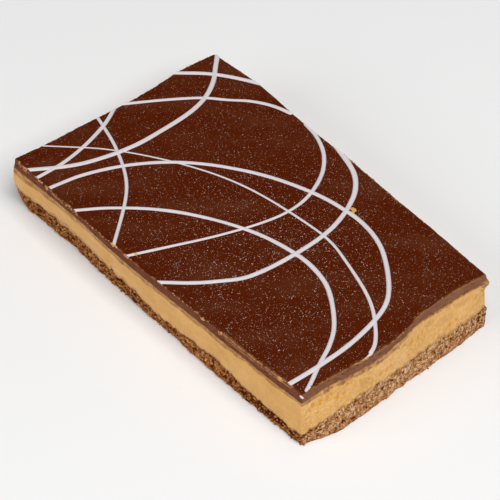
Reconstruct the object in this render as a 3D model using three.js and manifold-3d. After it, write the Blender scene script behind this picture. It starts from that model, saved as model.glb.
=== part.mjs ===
// A caramel slice: a hand-cut bar with a crumbly biscuit base, a thick caramel layer and a
// chocolate top drizzled with white chocolate. Millimetres, +Z up; the origin is the middle of the
// underside and X runs along the bar. Each layer is one closed solid that runs through the bar.
import * as THREE from "three";
import Module from "manifold-3d";
import { mergeVertices } from "three/addons/utils/BufferGeometryUtils.js";

const wasm = await Module();
wasm.setup();

// Driving dimensions.
const HEIGHT = 19.6; // underside to chocolate surface
const CORNER_RADIUS = 1; // rounding of the four upright corners
const CORNER_INSET = CORNER_RADIUS * (1 - Math.SQRT1_2);
const SEAM = 0.1; // gap between two layers
const CHOCOLATE_EDGE = 0.35; // width and depth of the softened upper edge
const EDGE_CHIP = 0.3; // deepest chip out of the chocolate's upper edge
const CRAG_OUT = 0.3; // how far crumbs stand out of the cut base
const CRAG_IN = 0.8; // how far pits go into it
const CARAMEL_BULGE = 0.1; // how far the caramel swells between its neighbours
const DRIZZLE_PROUD = 0.35; // height of a strand above the chocolate
const DRIZZLE_SINK = 0.5; // depth of a strand in the chocolate
const DRIZZLE_SETBACK = 0.1; // distance from the chocolate's rim to the strands' cut ends
const COLUMN = 1.8; // spacing of the corners round each layer
const CRAG_ROWS = 5; // rows of crags up the base
const DRIZZLE_STEP = 3.6; // spacing of the sections along a strand
const SLIVER = 0.01; // edges shorter than this are closed up after a join
const RIM_DEPTH = 0.12; // share of the way from the cut face to the middle where a seam turns flat
const GROUP = 4; // columns that share one point of the flat middle

// The four cut faces, each seen from outside and read from left to right at evenly spaced
// stations: how far the face stands from the middle of the bar at its top and at its foot, how far
// it swells between them, and the heights at which the base ends and the chocolate begins.
const FACES = {
  front: {
    top: [35.3, 35.8, 36.0, 35.7, 34.9, 34.4, 33.0],
    foot: [33.3, 32.9, 33.6, 33.5, 33.8, 33.6, 33.2],
    swell: [1.2, 0.1, 0.0, 0.1, 0.0, 0.1, 0.0],
    base: [9.0, 7.8, 7.9, 7.5, 7.2, 7.0, 4.7, 5.2, 6.5, 6.9, 5.0, 4.6, 4.1],
    glaze: [16.2, 16.5, 16.8, 17.2, 16.9, 16.4, 16.4, 16.5, 16.7, 16.7, 17.0, 16.4, 16.3],
  },
  right: {
    top: [57.4, 57.7, 58.7, 58.5, 55.9, 55.8, 56.6],
    foot: [57.5, 60.1, 59.9, 59.1, 58.8, 58.3, 57.3],
    swell: [0.0, 0.1, 0.0, 0.0, 0.2, 0.1, 0.1],
    base: [4.1, 5.9, 7.6, 8.0, 8.0, 8.1, 7.4, 7.2, 7.1, 6.9, 6.9, 7.0, 6.8],
    glaze: [16.3, 17.0, 17.2, 17.0, 16.8, 17.2, 17.9, 17.9, 17.2, 16.8, 16.8, 17.0, 16.6],
  },
  back: {
    top: [32.0, 33.0, 33.7, 34.6, 34.8, 36.0, 35.0],
    foot: [33.3, 33.5, 33.2, 33.5, 33.3, 33.4, 33.6],
    swell: [0.1, 0.1, 0.0, 0.2, 0.0, 0.1, 0.0],
    base: [6.8, 5.8, 6.9, 7.6, 6.2, 7.3, 6.6],
    glaze: [16.6, 16.3, 16.8, 16.5, 16.9, 16.4, 16.6],
  },
  left: {
    top: [58.2, 59.0, 58.1, 57.9, 58.5, 59.0, 59.6],
    foot: [58.4, 59.4, 59.9, 59.7, 59.8, 59.0, 58.6],
    swell: [0.0, 0.1, 0.0, 0.2, 0.1, 0.2, 1.4],
    base: [6.6, 7.4, 6.3, 7.1, 7.7, 7.9, 9.0],
    glaze: [16.6, 16.9, 16.4, 16.7, 16.4, 16.2, 16.2],
  },
};

// The drizzle, seen from above: each strand's width and the points it passes through. Strands run
// past the cut faces and are cut with them.
const STRANDS = [
  { width: 1.3, path: [[-60.3, 19.3], [-52.9, 27.4], [-48.2, 31.1], [-43.6, 34], [-39, 36.6]] },
  { width: 1.5, path: [[-58.5, 36.5], [-53.7, 31.5], [-49.1, 26.8], [-45.4, 20.9], [-43.3, 14.1],
                       [-42.4, 2], [-42.6, -8], [-45, -19.6], [-47.7, -26.1], [-55, -37.5]] },
  { width: 1.1, path: [[-60, -2], [-53, 9.5], [-45.4, 20.1], [-40.3, 24.8], [-35.8, 29.3],
                       [-30.1, 32.8], [-24, 34.7]] },
  { width: 1.2, path: [[-60, 1], [-54.5, -8.5], [-50, -24], [-49.5, -38]] },
  { width: 1.1, path: [[-60.5, -7.2], [-54.1, -8.8], [-44, -12], [-31, -19], [-13, -38.5]] },
  { width: 0.8, path: [[-60.5, -28], [-44, -12], [-26.5, -1], [-10, 5.5], [15, 9], [22, 8.8],
                       [28.2, 7.4], [41.1, 3.4], [47, 0.5], [52.2, -3.3], [60.5, -13]] },
  { width: 1.3, path: [[-44.5, -38.5], [-42.2, -25.2], [-36.8, -12.3], [-28.7, -1.5], [-18, 7.5],
                       [-6.4, 14.1], [6.6, 18.7], [13, 19.8], [19.9, 20.3], [26.8, 19.3],
                       [33.3, 16.7], [44.1, 8.8], [48.2, 3.4], [51.8, -9.6], [52.7, -23.5],
                       [52.3, -37]] },
  { width: 1.2, path: [[-34.6, -38.5], [-26.9, -27.3], [-17.2, -17.2], [-6.1, -9.5], [6.6, -3.7],
                       [19.7, -1], [26.7, -1.2], [33.5, -3.1], [44.6, -10.8], [49, -16.3],
                       [52.3, -22.6], [55.5, -28.2], [58.6, -34.5]] },
  { width: 1.1, path: [[-19, 34.8], [-12.5, 33.6], [-6.2, 30.6], [-1.2, 25.9], [2.2, 20.4],
                       [4.5, 13.8], [4.9, 6.8], [3.7, 0], [-0.6, -13.3], [-5.8, -25.8],
                       [-11.2, -38.5]] },
  { width: 1.4, path: [[-7, 35.5], [5.2, 31.6], [10.6, 27.1], [14.1, 21.5], [16.6, 15.4], [18, 9],
                       [18.4, -1], [17.8, -10.9], [16.4, -17.3], [13.2, -22.9], [9.1, -28.7],
                       [0.4, -38.3]] },
];

const MATERIALS = {
  biscuit: new THREE.MeshStandardMaterial({ color: 0x8a5a30, roughness: 0.95, metalness: 0 }),
  caramel: new THREE.MeshStandardMaterial({ color: 0xd6a55f, roughness: 0.5, metalness: 0 }),
  chocolate: new THREE.MeshStandardMaterial({ color: 0x54200d, roughness: 0.35, metalness: 0 }),
};

// A seeded random number from 0 to 1, the same on each run.
function seededRandom(seed) {
  let state = seed;
  return () => {
    state = (state + 0x6d2b79f5) | 0;
    let mixed = Math.imul(state ^ (state >>> 15), 1 | state);
    mixed = (mixed + Math.imul(mixed ^ (mixed >>> 7), 61 | mixed)) ^ mixed;
    return ((mixed ^ (mixed >>> 14)) >>> 0) / 2 ** 32;
  };
}

// A smooth curve through evenly spaced station values, at share 0 to 1 of the way along.
function along(stations, share) {
  const at = share * (stations.length - 1);
  const i = Math.min(Math.floor(at), stations.length - 2);
  const value = (k) => stations[THREE.MathUtils.clamp(k, 0, stations.length - 1)];
  const t = at - i;
  const slopeIn = (value(i + 1) - value(i - 1)) / 2;
  const slopeOut = (value(i + 2) - value(i)) / 2;
  return (
    (2 * t ** 3 - 3 * t ** 2 + 1) * value(i) +
    (t ** 3 - 2 * t ** 2 + t) * slopeIn +
    (3 * t ** 2 - 2 * t ** 3) * value(i + 1) +
    (t ** 3 - t ** 2) * slopeOut
  );
}

// How far a face stands from the middle of the bar at a height.
function reach(face, share, z) {
  const up = z / HEIGHT;
  const straight = THREE.MathUtils.lerp(along(face.foot, share), along(face.top, share), up);
  return straight + 4 * up * (1 - up) * along(face.swell, share);
}

// The columns round the bar, counter-clockwise from above: which face each one is on, and where.
const COLUMNS = [];
for (const [name, spanEnds] of [["front", ["left", "right"]], ["right", ["front", "back"]],
                                ["back", ["right", "left"]], ["left", ["back", "front"]]]) {
  const span = FACES[spanEnds[0]].top[0] + FACES[spanEnds[1]].top[0];
  const count = GROUP * Math.round(span / COLUMN / GROUP);
  const first = CORNER_RADIUS / span;
  COLUMNS.push({ name, share: 0, isCorner: true });
  for (let i = 0; i + 1 < count; i++)
    COLUMNS.push({ name, share: THREE.MathUtils.lerp(first, 1 - first, i / (count - 2)) });
}

// The point of a column at a height, pushed outwards by some distance.
function cutPoint({ name, share, isCorner = false }, z, push = 0) {
  const { front, right, back, left } = FACES;
  const lerp = THREE.MathUtils.lerp;
  const out = reach(FACES[name], share, z) + push - (isCorner ? CORNER_INSET : 0);
  const turn = isCorner ? CORNER_INSET - push : 0;
  switch (name) {
    case "front": {
      const x = lerp(-reach(left, 1, z), reach(right, 0, z), share);
      return new THREE.Vector3(x + turn, -out, z);
    }
    case "right": {
      const y = lerp(-reach(front, 1, z), reach(back, 0, z), share);
      return new THREE.Vector3(out, y + turn, z);
    }
    case "back": {
      const x = lerp(reach(right, 1, z), -reach(left, 0, z), share);
      return new THREE.Vector3(x - turn, out, z);
    }
    default: {
      const y = lerp(reach(back, 1, z), -reach(front, 0, z), share);
      return new THREE.Vector3(-out, y - turn, z);
    }
  }
}

// A closed solid from rings of points, lowest first. Each end is a rim that turns into a flat
// middle at the ring's mean height.
function layerGeometry(rings) {
  const points = rings.flat();
  const faces = [];
  const count = COLUMNS.length;
  for (let k = 0; k + 1 < rings.length; k++)
    for (let j = 0; j < count; j++) {
      const a = k * count + j;
      const b = k * count + ((j + 1) % count);
      faces.push([a, b, b + count], [a, b + count, a + count]);
    }
  const addEnd = (ringIndex, isTop) => {
    const rim = rings[ringIndex];
    const meanZ = rim.reduce((sum, p) => sum + p.z, 0) / count;
    const first = points.length;
    const middle = rim.filter((_, j) => j % GROUP === 0)
      .map((p) => new THREE.Vector3(p.x * (1 - RIM_DEPTH), p.y * (1 - RIM_DEPTH), meanZ));
    points.push(...middle);
    const end = [];
    for (let g = 0; g < middle.length; g++) {
      const next = first + ((g + 1) % middle.length);
      for (let j = g * GROUP; j < (g + 1) * GROUP; j++)
        end.push([ringIndex * count + j, ringIndex * count + ((j + 1) % count), first + g]);
      end.push([ringIndex * count + (((g + 1) * GROUP) % count), next, first + g]);
    }
    const outline = middle.map((p) => new THREE.Vector2(p.x, p.y));
    for (const [a, b, c] of THREE.ShapeUtils.triangulateShape(outline, [])) {
      const turnsLeft = THREE.ShapeUtils.area([outline[a], outline[b], outline[c]]) > 0;
      end.push(turnsLeft ? [first + a, first + b, first + c] : [first + a, first + c, first + b]);
    }
    faces.push(...(isTop ? end : end.map(([a, b, c]) => [a, c, b])));
  };
  addEnd(0, false);
  addEnd(rings.length - 1, true);
  const geometry = new THREE.BufferGeometry().setFromPoints(points);
  geometry.setIndex(faces.flat());
  return geometry;
}

// Turns a closed geometry into a solid that can be joined and cut, and back.
function toSolid(geometry) {
  const bare = geometry.clone();
  bare.deleteAttribute("normal");
  bare.deleteAttribute("uv");
  const merged = mergeVertices(bare, 1e-4);
  return new wasm.Manifold(
    new wasm.Mesh({
      numProp: 3,
      vertProperties: new Float32Array(merged.attributes.position.array),
      triVerts: new Uint32Array(merged.index.array),
    }),
  );
}

function toGeometry(solid) {
  const { vertProperties, triVerts } = solid.getMesh();
  const geometry = new THREE.BufferGeometry();
  geometry.setAttribute("position", new THREE.BufferAttribute(vertProperties, 3));
  geometry.setIndex(new THREE.BufferAttribute(triVerts, 1));
  return geometry;
}

function namedMesh(name, geometry, material) {
  geometry.computeVertexNormals();
  const mesh = new THREE.Mesh(geometry, material);
  mesh.name = name;
  return mesh;
}

// The two seams between the layers, as heights over the columns. The crumbs of the base make the
// lower one ragged in plan too.
const random = seededRandom(11);
const crag = () => THREE.MathUtils.lerp(-CRAG_IN, CRAG_OUT, Math.sqrt(random()));
const seamCrags = COLUMNS.map(() => crag() / 2);
const baseSeam = COLUMNS.map(({ name, share }) => along(FACES[name].base, share));
const glazeSeam = COLUMNS.map(({ name, share }) => along(FACES[name].glaze, share));

function baseSeamRing(lift) {
  return COLUMNS.map((column, j) =>
    cutPoint(column, baseSeam[j], seamCrags[j]).setZ(baseSeam[j] + lift));
}

function glazeSeamRing(lift) {
  return COLUMNS.map((column, j) => cutPoint(column, glazeSeam[j]).setZ(glazeSeam[j] + lift));
}

// The biscuit base: rows of crags from the foot up to the ragged seam.
function biscuitBase() {
  const rings = [COLUMNS.map((column) => cutPoint(column, 0, crag() / 2))];
  for (let k = 1; k < CRAG_ROWS; k++)
    rings.push(COLUMNS.map((column, j) => {
      const z = (baseSeam[j] * (k + 0.5 * (random() - 0.5))) / CRAG_ROWS;
      return cutPoint(column, z, crag());
    }));
  rings.push(baseSeamRing(-SEAM / 2));
  return namedMesh("biscuit_base", layerGeometry(rings), MATERIALS.biscuit);
}

// The caramel layer: a smooth cut that swells a little between the base and the chocolate.
function caramelLayer() {
  const swell = [0.35, 0.7];
  const rings = [baseSeamRing(SEAM / 2)];
  for (const share of swell)
    rings.push(COLUMNS.map((column, j) => {
      const z = THREE.MathUtils.lerp(baseSeam[j], glazeSeam[j], share);
      return cutPoint(column, z, CARAMEL_BULGE * Math.sin(Math.PI * share));
    }));
  rings.push(glazeSeamRing(-SEAM / 2));
  return namedMesh("caramel_layer", layerGeometry(rings), MATERIALS.caramel);
}

// One drizzle strand: a low ridge swept along its path, with its foot sunk in the chocolate.
function strandSolid({ width, path }) {
  const slope = width / 4 / DRIZZLE_PROUD;
  const footHalf = width / 2 + slope * DRIZZLE_SINK;
  // Along a level path the sweep turns the section's x downwards and its y sideways.
  const section = new THREE.Shape([
    new THREE.Vector2(DRIZZLE_SINK, -footHalf),
    new THREE.Vector2(DRIZZLE_SINK, footHalf),
    new THREE.Vector2(-DRIZZLE_PROUD, width / 4),
    new THREE.Vector2(-DRIZZLE_PROUD, -width / 4),
  ]);
  const curve = new THREE.CatmullRomCurve3(path.map(([x, y]) => new THREE.Vector3(x, y, HEIGHT)));
  const steps = Math.round(curve.getLength() / DRIZZLE_STEP);
  return toSolid(
    new THREE.ExtrudeGeometry(section, { steps, bevelEnabled: false, extrudePath: curve }),
  );
}

// The chocolate top, with the drizzle fused to it and cut off at its faces.
function chocolateTop() {
  const chips = COLUMNS.map(() => EDGE_CHIP * random() ** 3);
  const edgeRing = COLUMNS.map((column, j) =>
    cutPoint(column, HEIGHT - CHOCOLATE_EDGE - chips[j], -chips[j] / 2));
  const rimRing = COLUMNS.map((column, j) => cutPoint(column, HEIGHT, -CHOCOLATE_EDGE - chips[j]));
  const sheet = toSolid(layerGeometry([glazeSeamRing(SEAM / 2), edgeRing, rimRing]));
  const knife = [0, 2 * HEIGHT].map((z) =>
    COLUMNS.map((column, j) =>
      cutPoint(column, HEIGHT, -CHOCOLATE_EDGE - chips[j] - DRIZZLE_SETBACK).setZ(z)));
  const drizzle = wasm.Manifold.union(STRANDS.map(strandSolid)).intersect(
    toSolid(layerGeometry(knife)),
  );
  const joined = sheet.add(drizzle).asOriginal().simplify(SLIVER);
  return namedMesh("chocolate_top", toGeometry(joined), MATERIALS.chocolate);
}

const slice = new THREE.Group();
slice.add(biscuitBase(), caramelLayer(), chocolateTop());

export default slice;
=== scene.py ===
"""The looks of a caramel slice: crumbly biscuit, soft caramel, poured chocolate and white drizzle.

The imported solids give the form. Each layer is measured column by column round the cut faces, and a
finer skin with crumbs, tears and streaks stands for it. Lengths are in millimetres until a mesh is
made.
"""

import math

import bmesh
import bpy
import numpy as np
from bpy.props import FloatProperty, FloatVectorProperty, IntProperty, PointerProperty
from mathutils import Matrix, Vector, noise
from mathutils.bvhtree import BVHTree


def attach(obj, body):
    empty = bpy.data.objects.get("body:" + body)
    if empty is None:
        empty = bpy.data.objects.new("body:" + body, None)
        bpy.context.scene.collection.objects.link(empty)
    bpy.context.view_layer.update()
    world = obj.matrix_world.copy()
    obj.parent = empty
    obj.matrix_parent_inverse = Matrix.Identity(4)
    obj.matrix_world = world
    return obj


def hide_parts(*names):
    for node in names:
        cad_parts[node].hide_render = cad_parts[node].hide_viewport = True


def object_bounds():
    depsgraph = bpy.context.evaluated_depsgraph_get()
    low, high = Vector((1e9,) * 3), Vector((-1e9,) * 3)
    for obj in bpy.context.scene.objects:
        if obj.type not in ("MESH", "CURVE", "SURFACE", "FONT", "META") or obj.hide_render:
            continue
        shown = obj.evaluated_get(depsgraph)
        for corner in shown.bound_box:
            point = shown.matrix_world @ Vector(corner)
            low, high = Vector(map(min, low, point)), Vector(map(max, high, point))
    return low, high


bl_info = {
    "name": "Caramel slice",
    "version": (1, 0, 0),
    "blender": (4, 5, 0),
    "location": "3D View > Sidebar > Caramel slice",
    "description": "Dresses a packed caramel slice with crumbs, caramel, chocolate and drizzle",
    "category": "Object",
}

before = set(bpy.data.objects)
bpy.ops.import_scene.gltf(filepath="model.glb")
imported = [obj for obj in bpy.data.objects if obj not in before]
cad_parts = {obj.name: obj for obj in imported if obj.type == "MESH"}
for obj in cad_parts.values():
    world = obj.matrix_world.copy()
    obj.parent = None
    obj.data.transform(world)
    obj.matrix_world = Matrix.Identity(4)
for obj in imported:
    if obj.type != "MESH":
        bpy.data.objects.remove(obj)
CAD_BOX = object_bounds()

MM = 0.001
BISCUIT, CARAMEL, CHOCOLATE = "biscuit_base", "caramel_layer", "chocolate_top"

# Columns of the skins along a long and a short side. They start from a level core, this far in from
# the slice's box, and the lines that measure the solids come from this far outside the core.
LONG_COLUMNS = 400
SHORT_COLUMNS = 240
CORE_INSET = 9.0
OUTSIDE = 30.0

# The sides in the order of the columns, and the columns at which they start.
SIDES = ("front", "right", "back", "left")
CORNERS = (0, LONG_COLUMNS, LONG_COLUMNS + SHORT_COLUMNS, 2 * LONG_COLUMNS + SHORT_COLUMNS)
BACK_RIGHT = CORNERS[2:3]

# Rows of points up each cut face, steps round the chocolate's lip, rings from there to the core, and
# how many columns run into one on the top and where a skin is closed out of sight.
BASE_ROWS = 46
CARAMEL_ROWS = 46
CHOCOLATE_ROWS = 24
LIP_STEPS = 5
TOP_RINGS = 17
TOP_STEP = 2
HIDDEN_STEP = 10

# How far a skin laps down over the layer below, and how far under the top the edge is measured.
LAP = 0.06
RIM_DEPTH = 0.5

# The drizzle seen from above: a strand's widths at evenly spaced places along it, and the points that
# it passes through. Strands run past the cut faces, apart from two ends near the right one.
STRANDS = (
    ((1.2, 1.25), ((-60.3, 19.3), (-52.9, 27.4), (-48.2, 31.1), (-43.6, 34), (-39, 36.6))),
    ((1.5, 1.4, 1.42, 1.38, 1.30), ((-58.5, 36.5), (-53.7, 31.5), (-49.1, 26.8), (-45.4, 20.9),
                                    (-43.3, 14.1), (-42.4, 2), (-42.6, -8), (-45, -19.6),
                                    (-47.7, -26.1), (-55, -37.5))),
    ((1.0, 0.95, 0.9, 1.2), ((-60, -2), (-53, 9.5), (-45.4, 20.1), (-40.3, 24.8), (-35.8, 29.3),
                             (-30.1, 32.8), (-24, 34.7))),
    ((1.25, 1.1, 1.1), ((-60, 1), (-54.5, -8.5), (-50, -24), (-49.5, -38))),
    ((0.97, 0.97, 1.0), ((-60.5, -7.2), (-54.1, -8.8), (-44, -12), (-31, -19), (-13, -38.5))),
    ((0.42, 0.42, 0.52, 0.62, 0.75, 1.0, 1.15), (
        (-60.5, -28), (-44, -12), (-26.5, -1), (-10, 5.5), (15, 9), (22, 8.8), (28.2, 7.4),
        (41.1, 3.4), (47, 0.5), (52.2, -3.3), (55, -5.8), (56.9, -8.1), (58, -10.6))),
    ((1.1, 1.1, 1.05, 1.15, 1.33, 1.33, 1.4, 1.38), (
        (-44.5, -38.5), (-42.2, -25.2), (-36.8, -12.3), (-28.7, -1.5), (-18, 7.5), (-6.4, 14.1),
        (6.6, 18.7), (13, 19.8), (19.9, 20.3), (26.8, 19.3), (33.3, 16.7), (44.1, 8.8),
        (48.2, 3.4), (51.8, -9.6), (52.7, -23.5), (52.3, -37))),
    ((1.05, 0.97, 1.08, 1.0, 1.2, 1.4, 1.27, 1.2, 1.15), (
        (-34.6, -38.5), (-26.9, -27.3), (-17.2, -17.2), (-6.1, -9.5), (6.6, -3.7), (19.7, -1),
        (26.7, -1.2), (33.5, -3.1), (44.6, -10.8), (49, -16.3), (52.3, -22.6), (55.5, -28.2),
        (57.3, -31.6))),
    ((1.05, 1.22, 1.18, 0.88, 0.75, 0.76, 0.86, 0.90), (
        (-19, 34.8), (-12.5, 33.6), (-6.2, 30.6), (-1.2, 25.9), (2.2, 20.4), (4.5, 13.8),
        (4.9, 6.8), (3.7, 0), (-0.6, -13.3), (-5.8, -25.8), (-11.2, -38.5))),
    ((1.6, 1.5, 1.32, 1.32, 1.35, 1.18, 1.10), (
        (-7, 35.5), (5.2, 31.6), (10.6, 27.1), (14.1, 21.5), (16.6, 15.4), (18, 9), (18.4, -1),
        (17.8, -10.9), (16.4, -17.3), (13.2, -22.9), (9.1, -28.7), (0.4, -38.3))),
    ((1.1, 0.7, 0.35), ((57.6, -9.2), (58.25, -10.8), (58.5, -12.2), (58.55, -13.6))),
)

# A strand's section from its right foot up to its crown, as shares of its width and height. It is
# sunk into the chocolate, follows its path in steps, and is cut off just inside the upper edge.
STRAND_SECTION = ((0.50, 0.05), (0.455, 0.45), (0.36, 0.80), (0.20, 0.96), (0.0, 1.0))
STRAND_SINK = 0.30
STRAND_STEP = 0.4
EDGE_CUT = 0.16

# A white dab on the near corner, and its half sizes.
DAB_PLACE = (57.5, -33.25, 19.12)
DAB_HALF = (0.72, 0.30, 0.30)

# Caramel that the knife dragged along the upper edge: side, from, to (x or y), how deep it goes and
# how solid it is: below 0 mostly dark gaps, at 0 scattered flakes, at 1 a full line.
RIM_SMEARS = (
    ("front", -59.0, -44.0, 1.9, -0.02), ("front", -44.0, -20.0, 1.1, 0.0),
    ("front", -19.0, -3.0, 0.25, 0.18), ("front", -2.0, 12.5, 0.28, 0.16),
    ("front", 13.0, 28.5, 0.32, 0.24), ("front", 28.5, 57.0, 1.05, 0.90),
    ("right", -33.0, -17.0, 0.70, -0.40), ("right", -17.0, -11.0, 0.50, 0.35),
    ("back", -8.0, 5.0, 0.60, 0.55), ("back", 5.0, 26.0, 0.40, 0.30),
    ("back", -56.0, -20.0, 0.25, 0.20), ("left", -35.0, 33.0, 0.55, -0.05),
)

# How far chocolate is smeared down over the caramel, and crumbs dragged up over it, at evenly spaced
# places on the two faces that show.
SMEAR_DEPTHS = {
    "front": (2.6, 2.4, 2.1, 1.7, 1.9, 1.9, 2.1, 2.2, 1.8, 1.7, 1.3, 1.4, 0.9),
    "right": (1.3, 1.7, 1.6, 2.1, 2.0, 2.3, 1.4, 0.6, 0.5, 0.8, 0.6, 0.5, 0.8),
}
DUST_DEPTHS = {
    "front": (1.3, 1.0, 2.2, 2.0, 1.5, 1.2, 0.7, 0.7, 0.7, 0.9, 0.8, 0.6, 0.8),
    "right": (0.8, 0.9, 0.9, 0.8, 0.8, 0.9, 1.1, 1.2, 1.1, 1.5, 1.3, 1.2, 1.6),
}

# How much of the base's cut face is pitted, and darkened as painted shade in its pits and creases,
# likewise.
PITTING = {
    "front": (0.45, 0.65, 0.50, 0.45, 0.55, 0.60, 0.50, 0.35, 0.35, 0.50, 1.00, 0.95, 0.60),
    "right": (0.50, 0.25, 0.12, 0.15, 0.08, 0.05, 0.03, 0.08, 0.10, 0.15, 0.12, 0.15, 0.30),
}

# The deepest pits in the front of the base, cut in and darkened as painted shade: x, height, half width
# and half height.
PITS = (
    (-56.0, 5.0, 0.6, 0.5), (-53.0, 2.2, 1.0, 0.7), (-45.0, 5.8, 0.9, 0.5), (-24.0, 4.5, 0.7, 0.7),
    (-12.5, 2.2, 0.8, 0.6), (-10.0, 4.6, 0.6, 0.7), (-6.5, 5.4, 0.8, 0.6), (-1.0, 3.0, 0.6, 0.7),
    (8.0, 2.5, 0.7, 0.6), (16.0, 3.4, 0.6, 0.5), (27.5, 2.6, 0.7, 0.6), (35.5, 2.8, 0.9, 0.9),
    (38.5, 1.8, 0.8, 0.6), (41.5, 3.0, 1.1, 0.8), (45.0, 2.0, 0.9, 0.7), (48.5, 2.7, 0.8, 0.9),
    (53.5, 1.6, 0.7, 0.5),
)

# Crumbs and soft shade caught in the right face's caramel: y, height, half width and half height.
STAINS = (
    (32.3, 13.5, 0.60, 0.50), (31.0, 14.2, 0.50, 0.25), (31.3, 15.6, 0.70, 0.35),
    (33.2, 10.4, 0.30, 0.60), (-25.0, 16.2, 0.25, 0.25), (-20.2, 16.8, 0.30, 0.25),
    (-24.5, 15.6, 0.30, 0.20), (-1.0, 15.8, 0.30, 0.25),
)
SHADES = (
    (17.2, 12.6, 2.8, 1.5), (11.5, 14.8, 1.8, 0.8), (23.5, 14.4, 2.6, 1.0),
    (-13.0, 12.0, 2.0, 1.4),
)

# The clearest tears in the right face: y, height, half width and half height. Each is drawn this
# many times as large, because its ragged border takes some of it away.
TEAR_SPREAD = 1.25
TEARS = (
    (-33.4, 11.4, 0.30, 0.55), (-30.6, 12.2, 0.25, 0.45), (-29.5, 13.4, 0.50, 0.70),
    (-27.2, 13.2, 0.50, 0.85), (-25.0, 13.5, 0.32, 0.60), (-23.9, 14.4, 0.35, 0.50),
    (-22.1, 11.8, 0.50, 0.65), (-28.2, 10.2, 0.30, 0.45), (-20.0, 12.2, 0.30, 0.40),
    (-18.5, 14.6, 0.45, 0.35), (-9.0, 15.0, 0.35, 0.40), (-7.5, 11.1, 0.40, 0.60),
    (-5.2, 11.0, 0.45, 0.55), (-3.7, 11.3, 0.30, 0.40), (1.2, 15.0, 0.50, 0.45),
    (4.3, 13.8, 0.50, 0.80), (7.2, 13.3, 0.45, 0.65), (8.8, 13.5, 0.30, 0.45),
    (3.0, 10.1, 0.30, 0.40), (19.0, 9.9, 0.40, 0.60), (21.4, 10.0, 0.30, 0.40),
    (28.6, 13.3, 0.60, 0.35),
)

# Flakes on the upper edge: side, from, to, how many, half their width and how far down they hang.
EDGE_FLAKES = (
    ("front", -58.5, -53.5, 22, 0.19, 1.5), ("front", -56.3, -54.7, 5, 0.25, 1.6),
    ("front", -50.5, -47.5, 8, 0.20, 0.3), ("front", -46.3, -44.6, 5, 0.26, 1.7),
    ("front", -46.5, -40.0, 18, 0.17, 1.2), ("front", -41.0, -31.0, 24, 0.16, 0.8),
    ("front", -36.0, -32.5, 7, 0.20, 0.7), ("front", -31.0, -20.0, 20, 0.15, 0.3),
    ("front", -20.0, -3.0, 22, 0.14, 0.1), ("front", -16.2, -14.0, 7, 0.36, 0.3),
    ("front", -11.0, -9.6, 5, 0.34, 0.2), ("front", -3.0, 28.0, 34, 0.14, 0.1),
    ("front", 20.6, 21.6, 4, 0.30, 0.5), ("front", 27.2, 28.4, 7, 0.30, 1.0),
    ("front", 51.0, 52.4, 8, 0.44, 0.6), ("right", -32.0, -22.0, 4, 0.14, 0.1),
    ("right", -16.5, -11.5, 15, 0.24, 0.1), ("right", -9.0, 2.0, 6, 0.13, 0.0),
    ("back", -6.2, 3.0, 26, 0.24, 0.1), ("back", 5.0, 22.0, 16, 0.18, 0.1),
    ("back", -56.0, 50.0, 40, 0.13, 0.1), ("left", -33.0, 33.0, 46, 0.15, 0.1),
)

# Dark crumbs lying on the upper edge: side, place along it, distance in from it and half size.
EDGE_CRUMBS = (
    ("right", 1.1, 0.25, 0.48), ("right", 2.1, 0.10, 0.28), ("right", -0.4, 0.15, 0.22),
    ("right", -32.2, 0.9, 0.42), ("right", -31.6, 0.3, 0.34), ("right", -32.8, 0.2, 0.30),
    ("right", -33.4, 0.1, 0.38), ("right", -29.6, 0.3, 0.22), ("right", -22.5, 0.2, 0.18),
    ("right", -26.5, 0.3, 0.34), ("right", -4.0, 0.2, 0.20), ("right", 6.5, 0.2, 0.20),
    ("right", 31.0, 0.4, 0.26), ("left", 12.0, 0.3, 0.24), ("back", 30.0, 0.3, 0.25),
)

# Caramel that the knife pulled out and dropped on top: x, y, height and half sizes.
CARAMEL_BITS = (
    (-8.7, -33.5, 19.75, (0.42, 0.34, 0.30)), (-9.5, -33.9, 19.7, (0.30, 0.22, 0.20)),
    (15.7, 21.9, 19.62, (0.95, 0.70, 0.16)), (16.5, 20.9, 19.62, (0.55, 0.60, 0.13)),
)

# The point drawn out at the right back corner, and the caramel drawn in below it: how far, and how
# many columns wide.
CORNER_FLANGE = 0.85
FLANGE_COLUMNS = 4.5
CORNER_HOLLOW = 0.65
HOLLOW_COLUMNS = 8.0

# How far the base is filled out at its corners, just under the caramel, and how many columns wide.
CORNER_FILL = 0.40
CORNER_COLUMNS = 5.0

# Where sugar specks are largest and palest, how far that reaches, and how far in from the slice's
# box and its upper edge specks begin.
SPECK_CENTRE = (18.0, -6.0)
SPECK_REACH = (45.0, 34.0)
SPECK_MARGIN = 1.5
SPECK_EDGE = 0.5

# What a colour's red, green and blue are multiplied by for its darker and lighter tones.
BISCUIT_DEEP = (0.46, 0.28, 0.20)
BISCUIT_DEEP_DRY = (0.62, 0.47, 0.36)
GRAIN_GOLDEN = (0.90, 0.72, 0.44)
CARAMEL_DARK = (0.86, 0.80, 0.68)
CARAMEL_PALE = (1.10, 1.12, 1.22)
CARAMEL_PALE_TORN = (1.12, 1.20, 1.55)
DUST = (0.66, 0.62, 0.90)
DUST_DRY = (0.85, 0.85, 0.85)
SMEAR_THICK = (0.52, 0.40, 0.38)
CUT_DARK = (0.74, 0.70, 0.66)
CUT_PALE = (1.10, 1.14, 1.16)
# Gaps in the cut chocolate, and painted shade on the lip of the left-facing sides, take this dark.
GAP_AND_SHADE_DARK = (0.90, 0.90, 0.90)
DRIZZLE_DARK = (0.95, 0.95, 0.95)
FLAKE_AMBER = (0.50, 0.38, 0.25)
FLAKE_PALE = (1.15, 1.15, 1.15)

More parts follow.
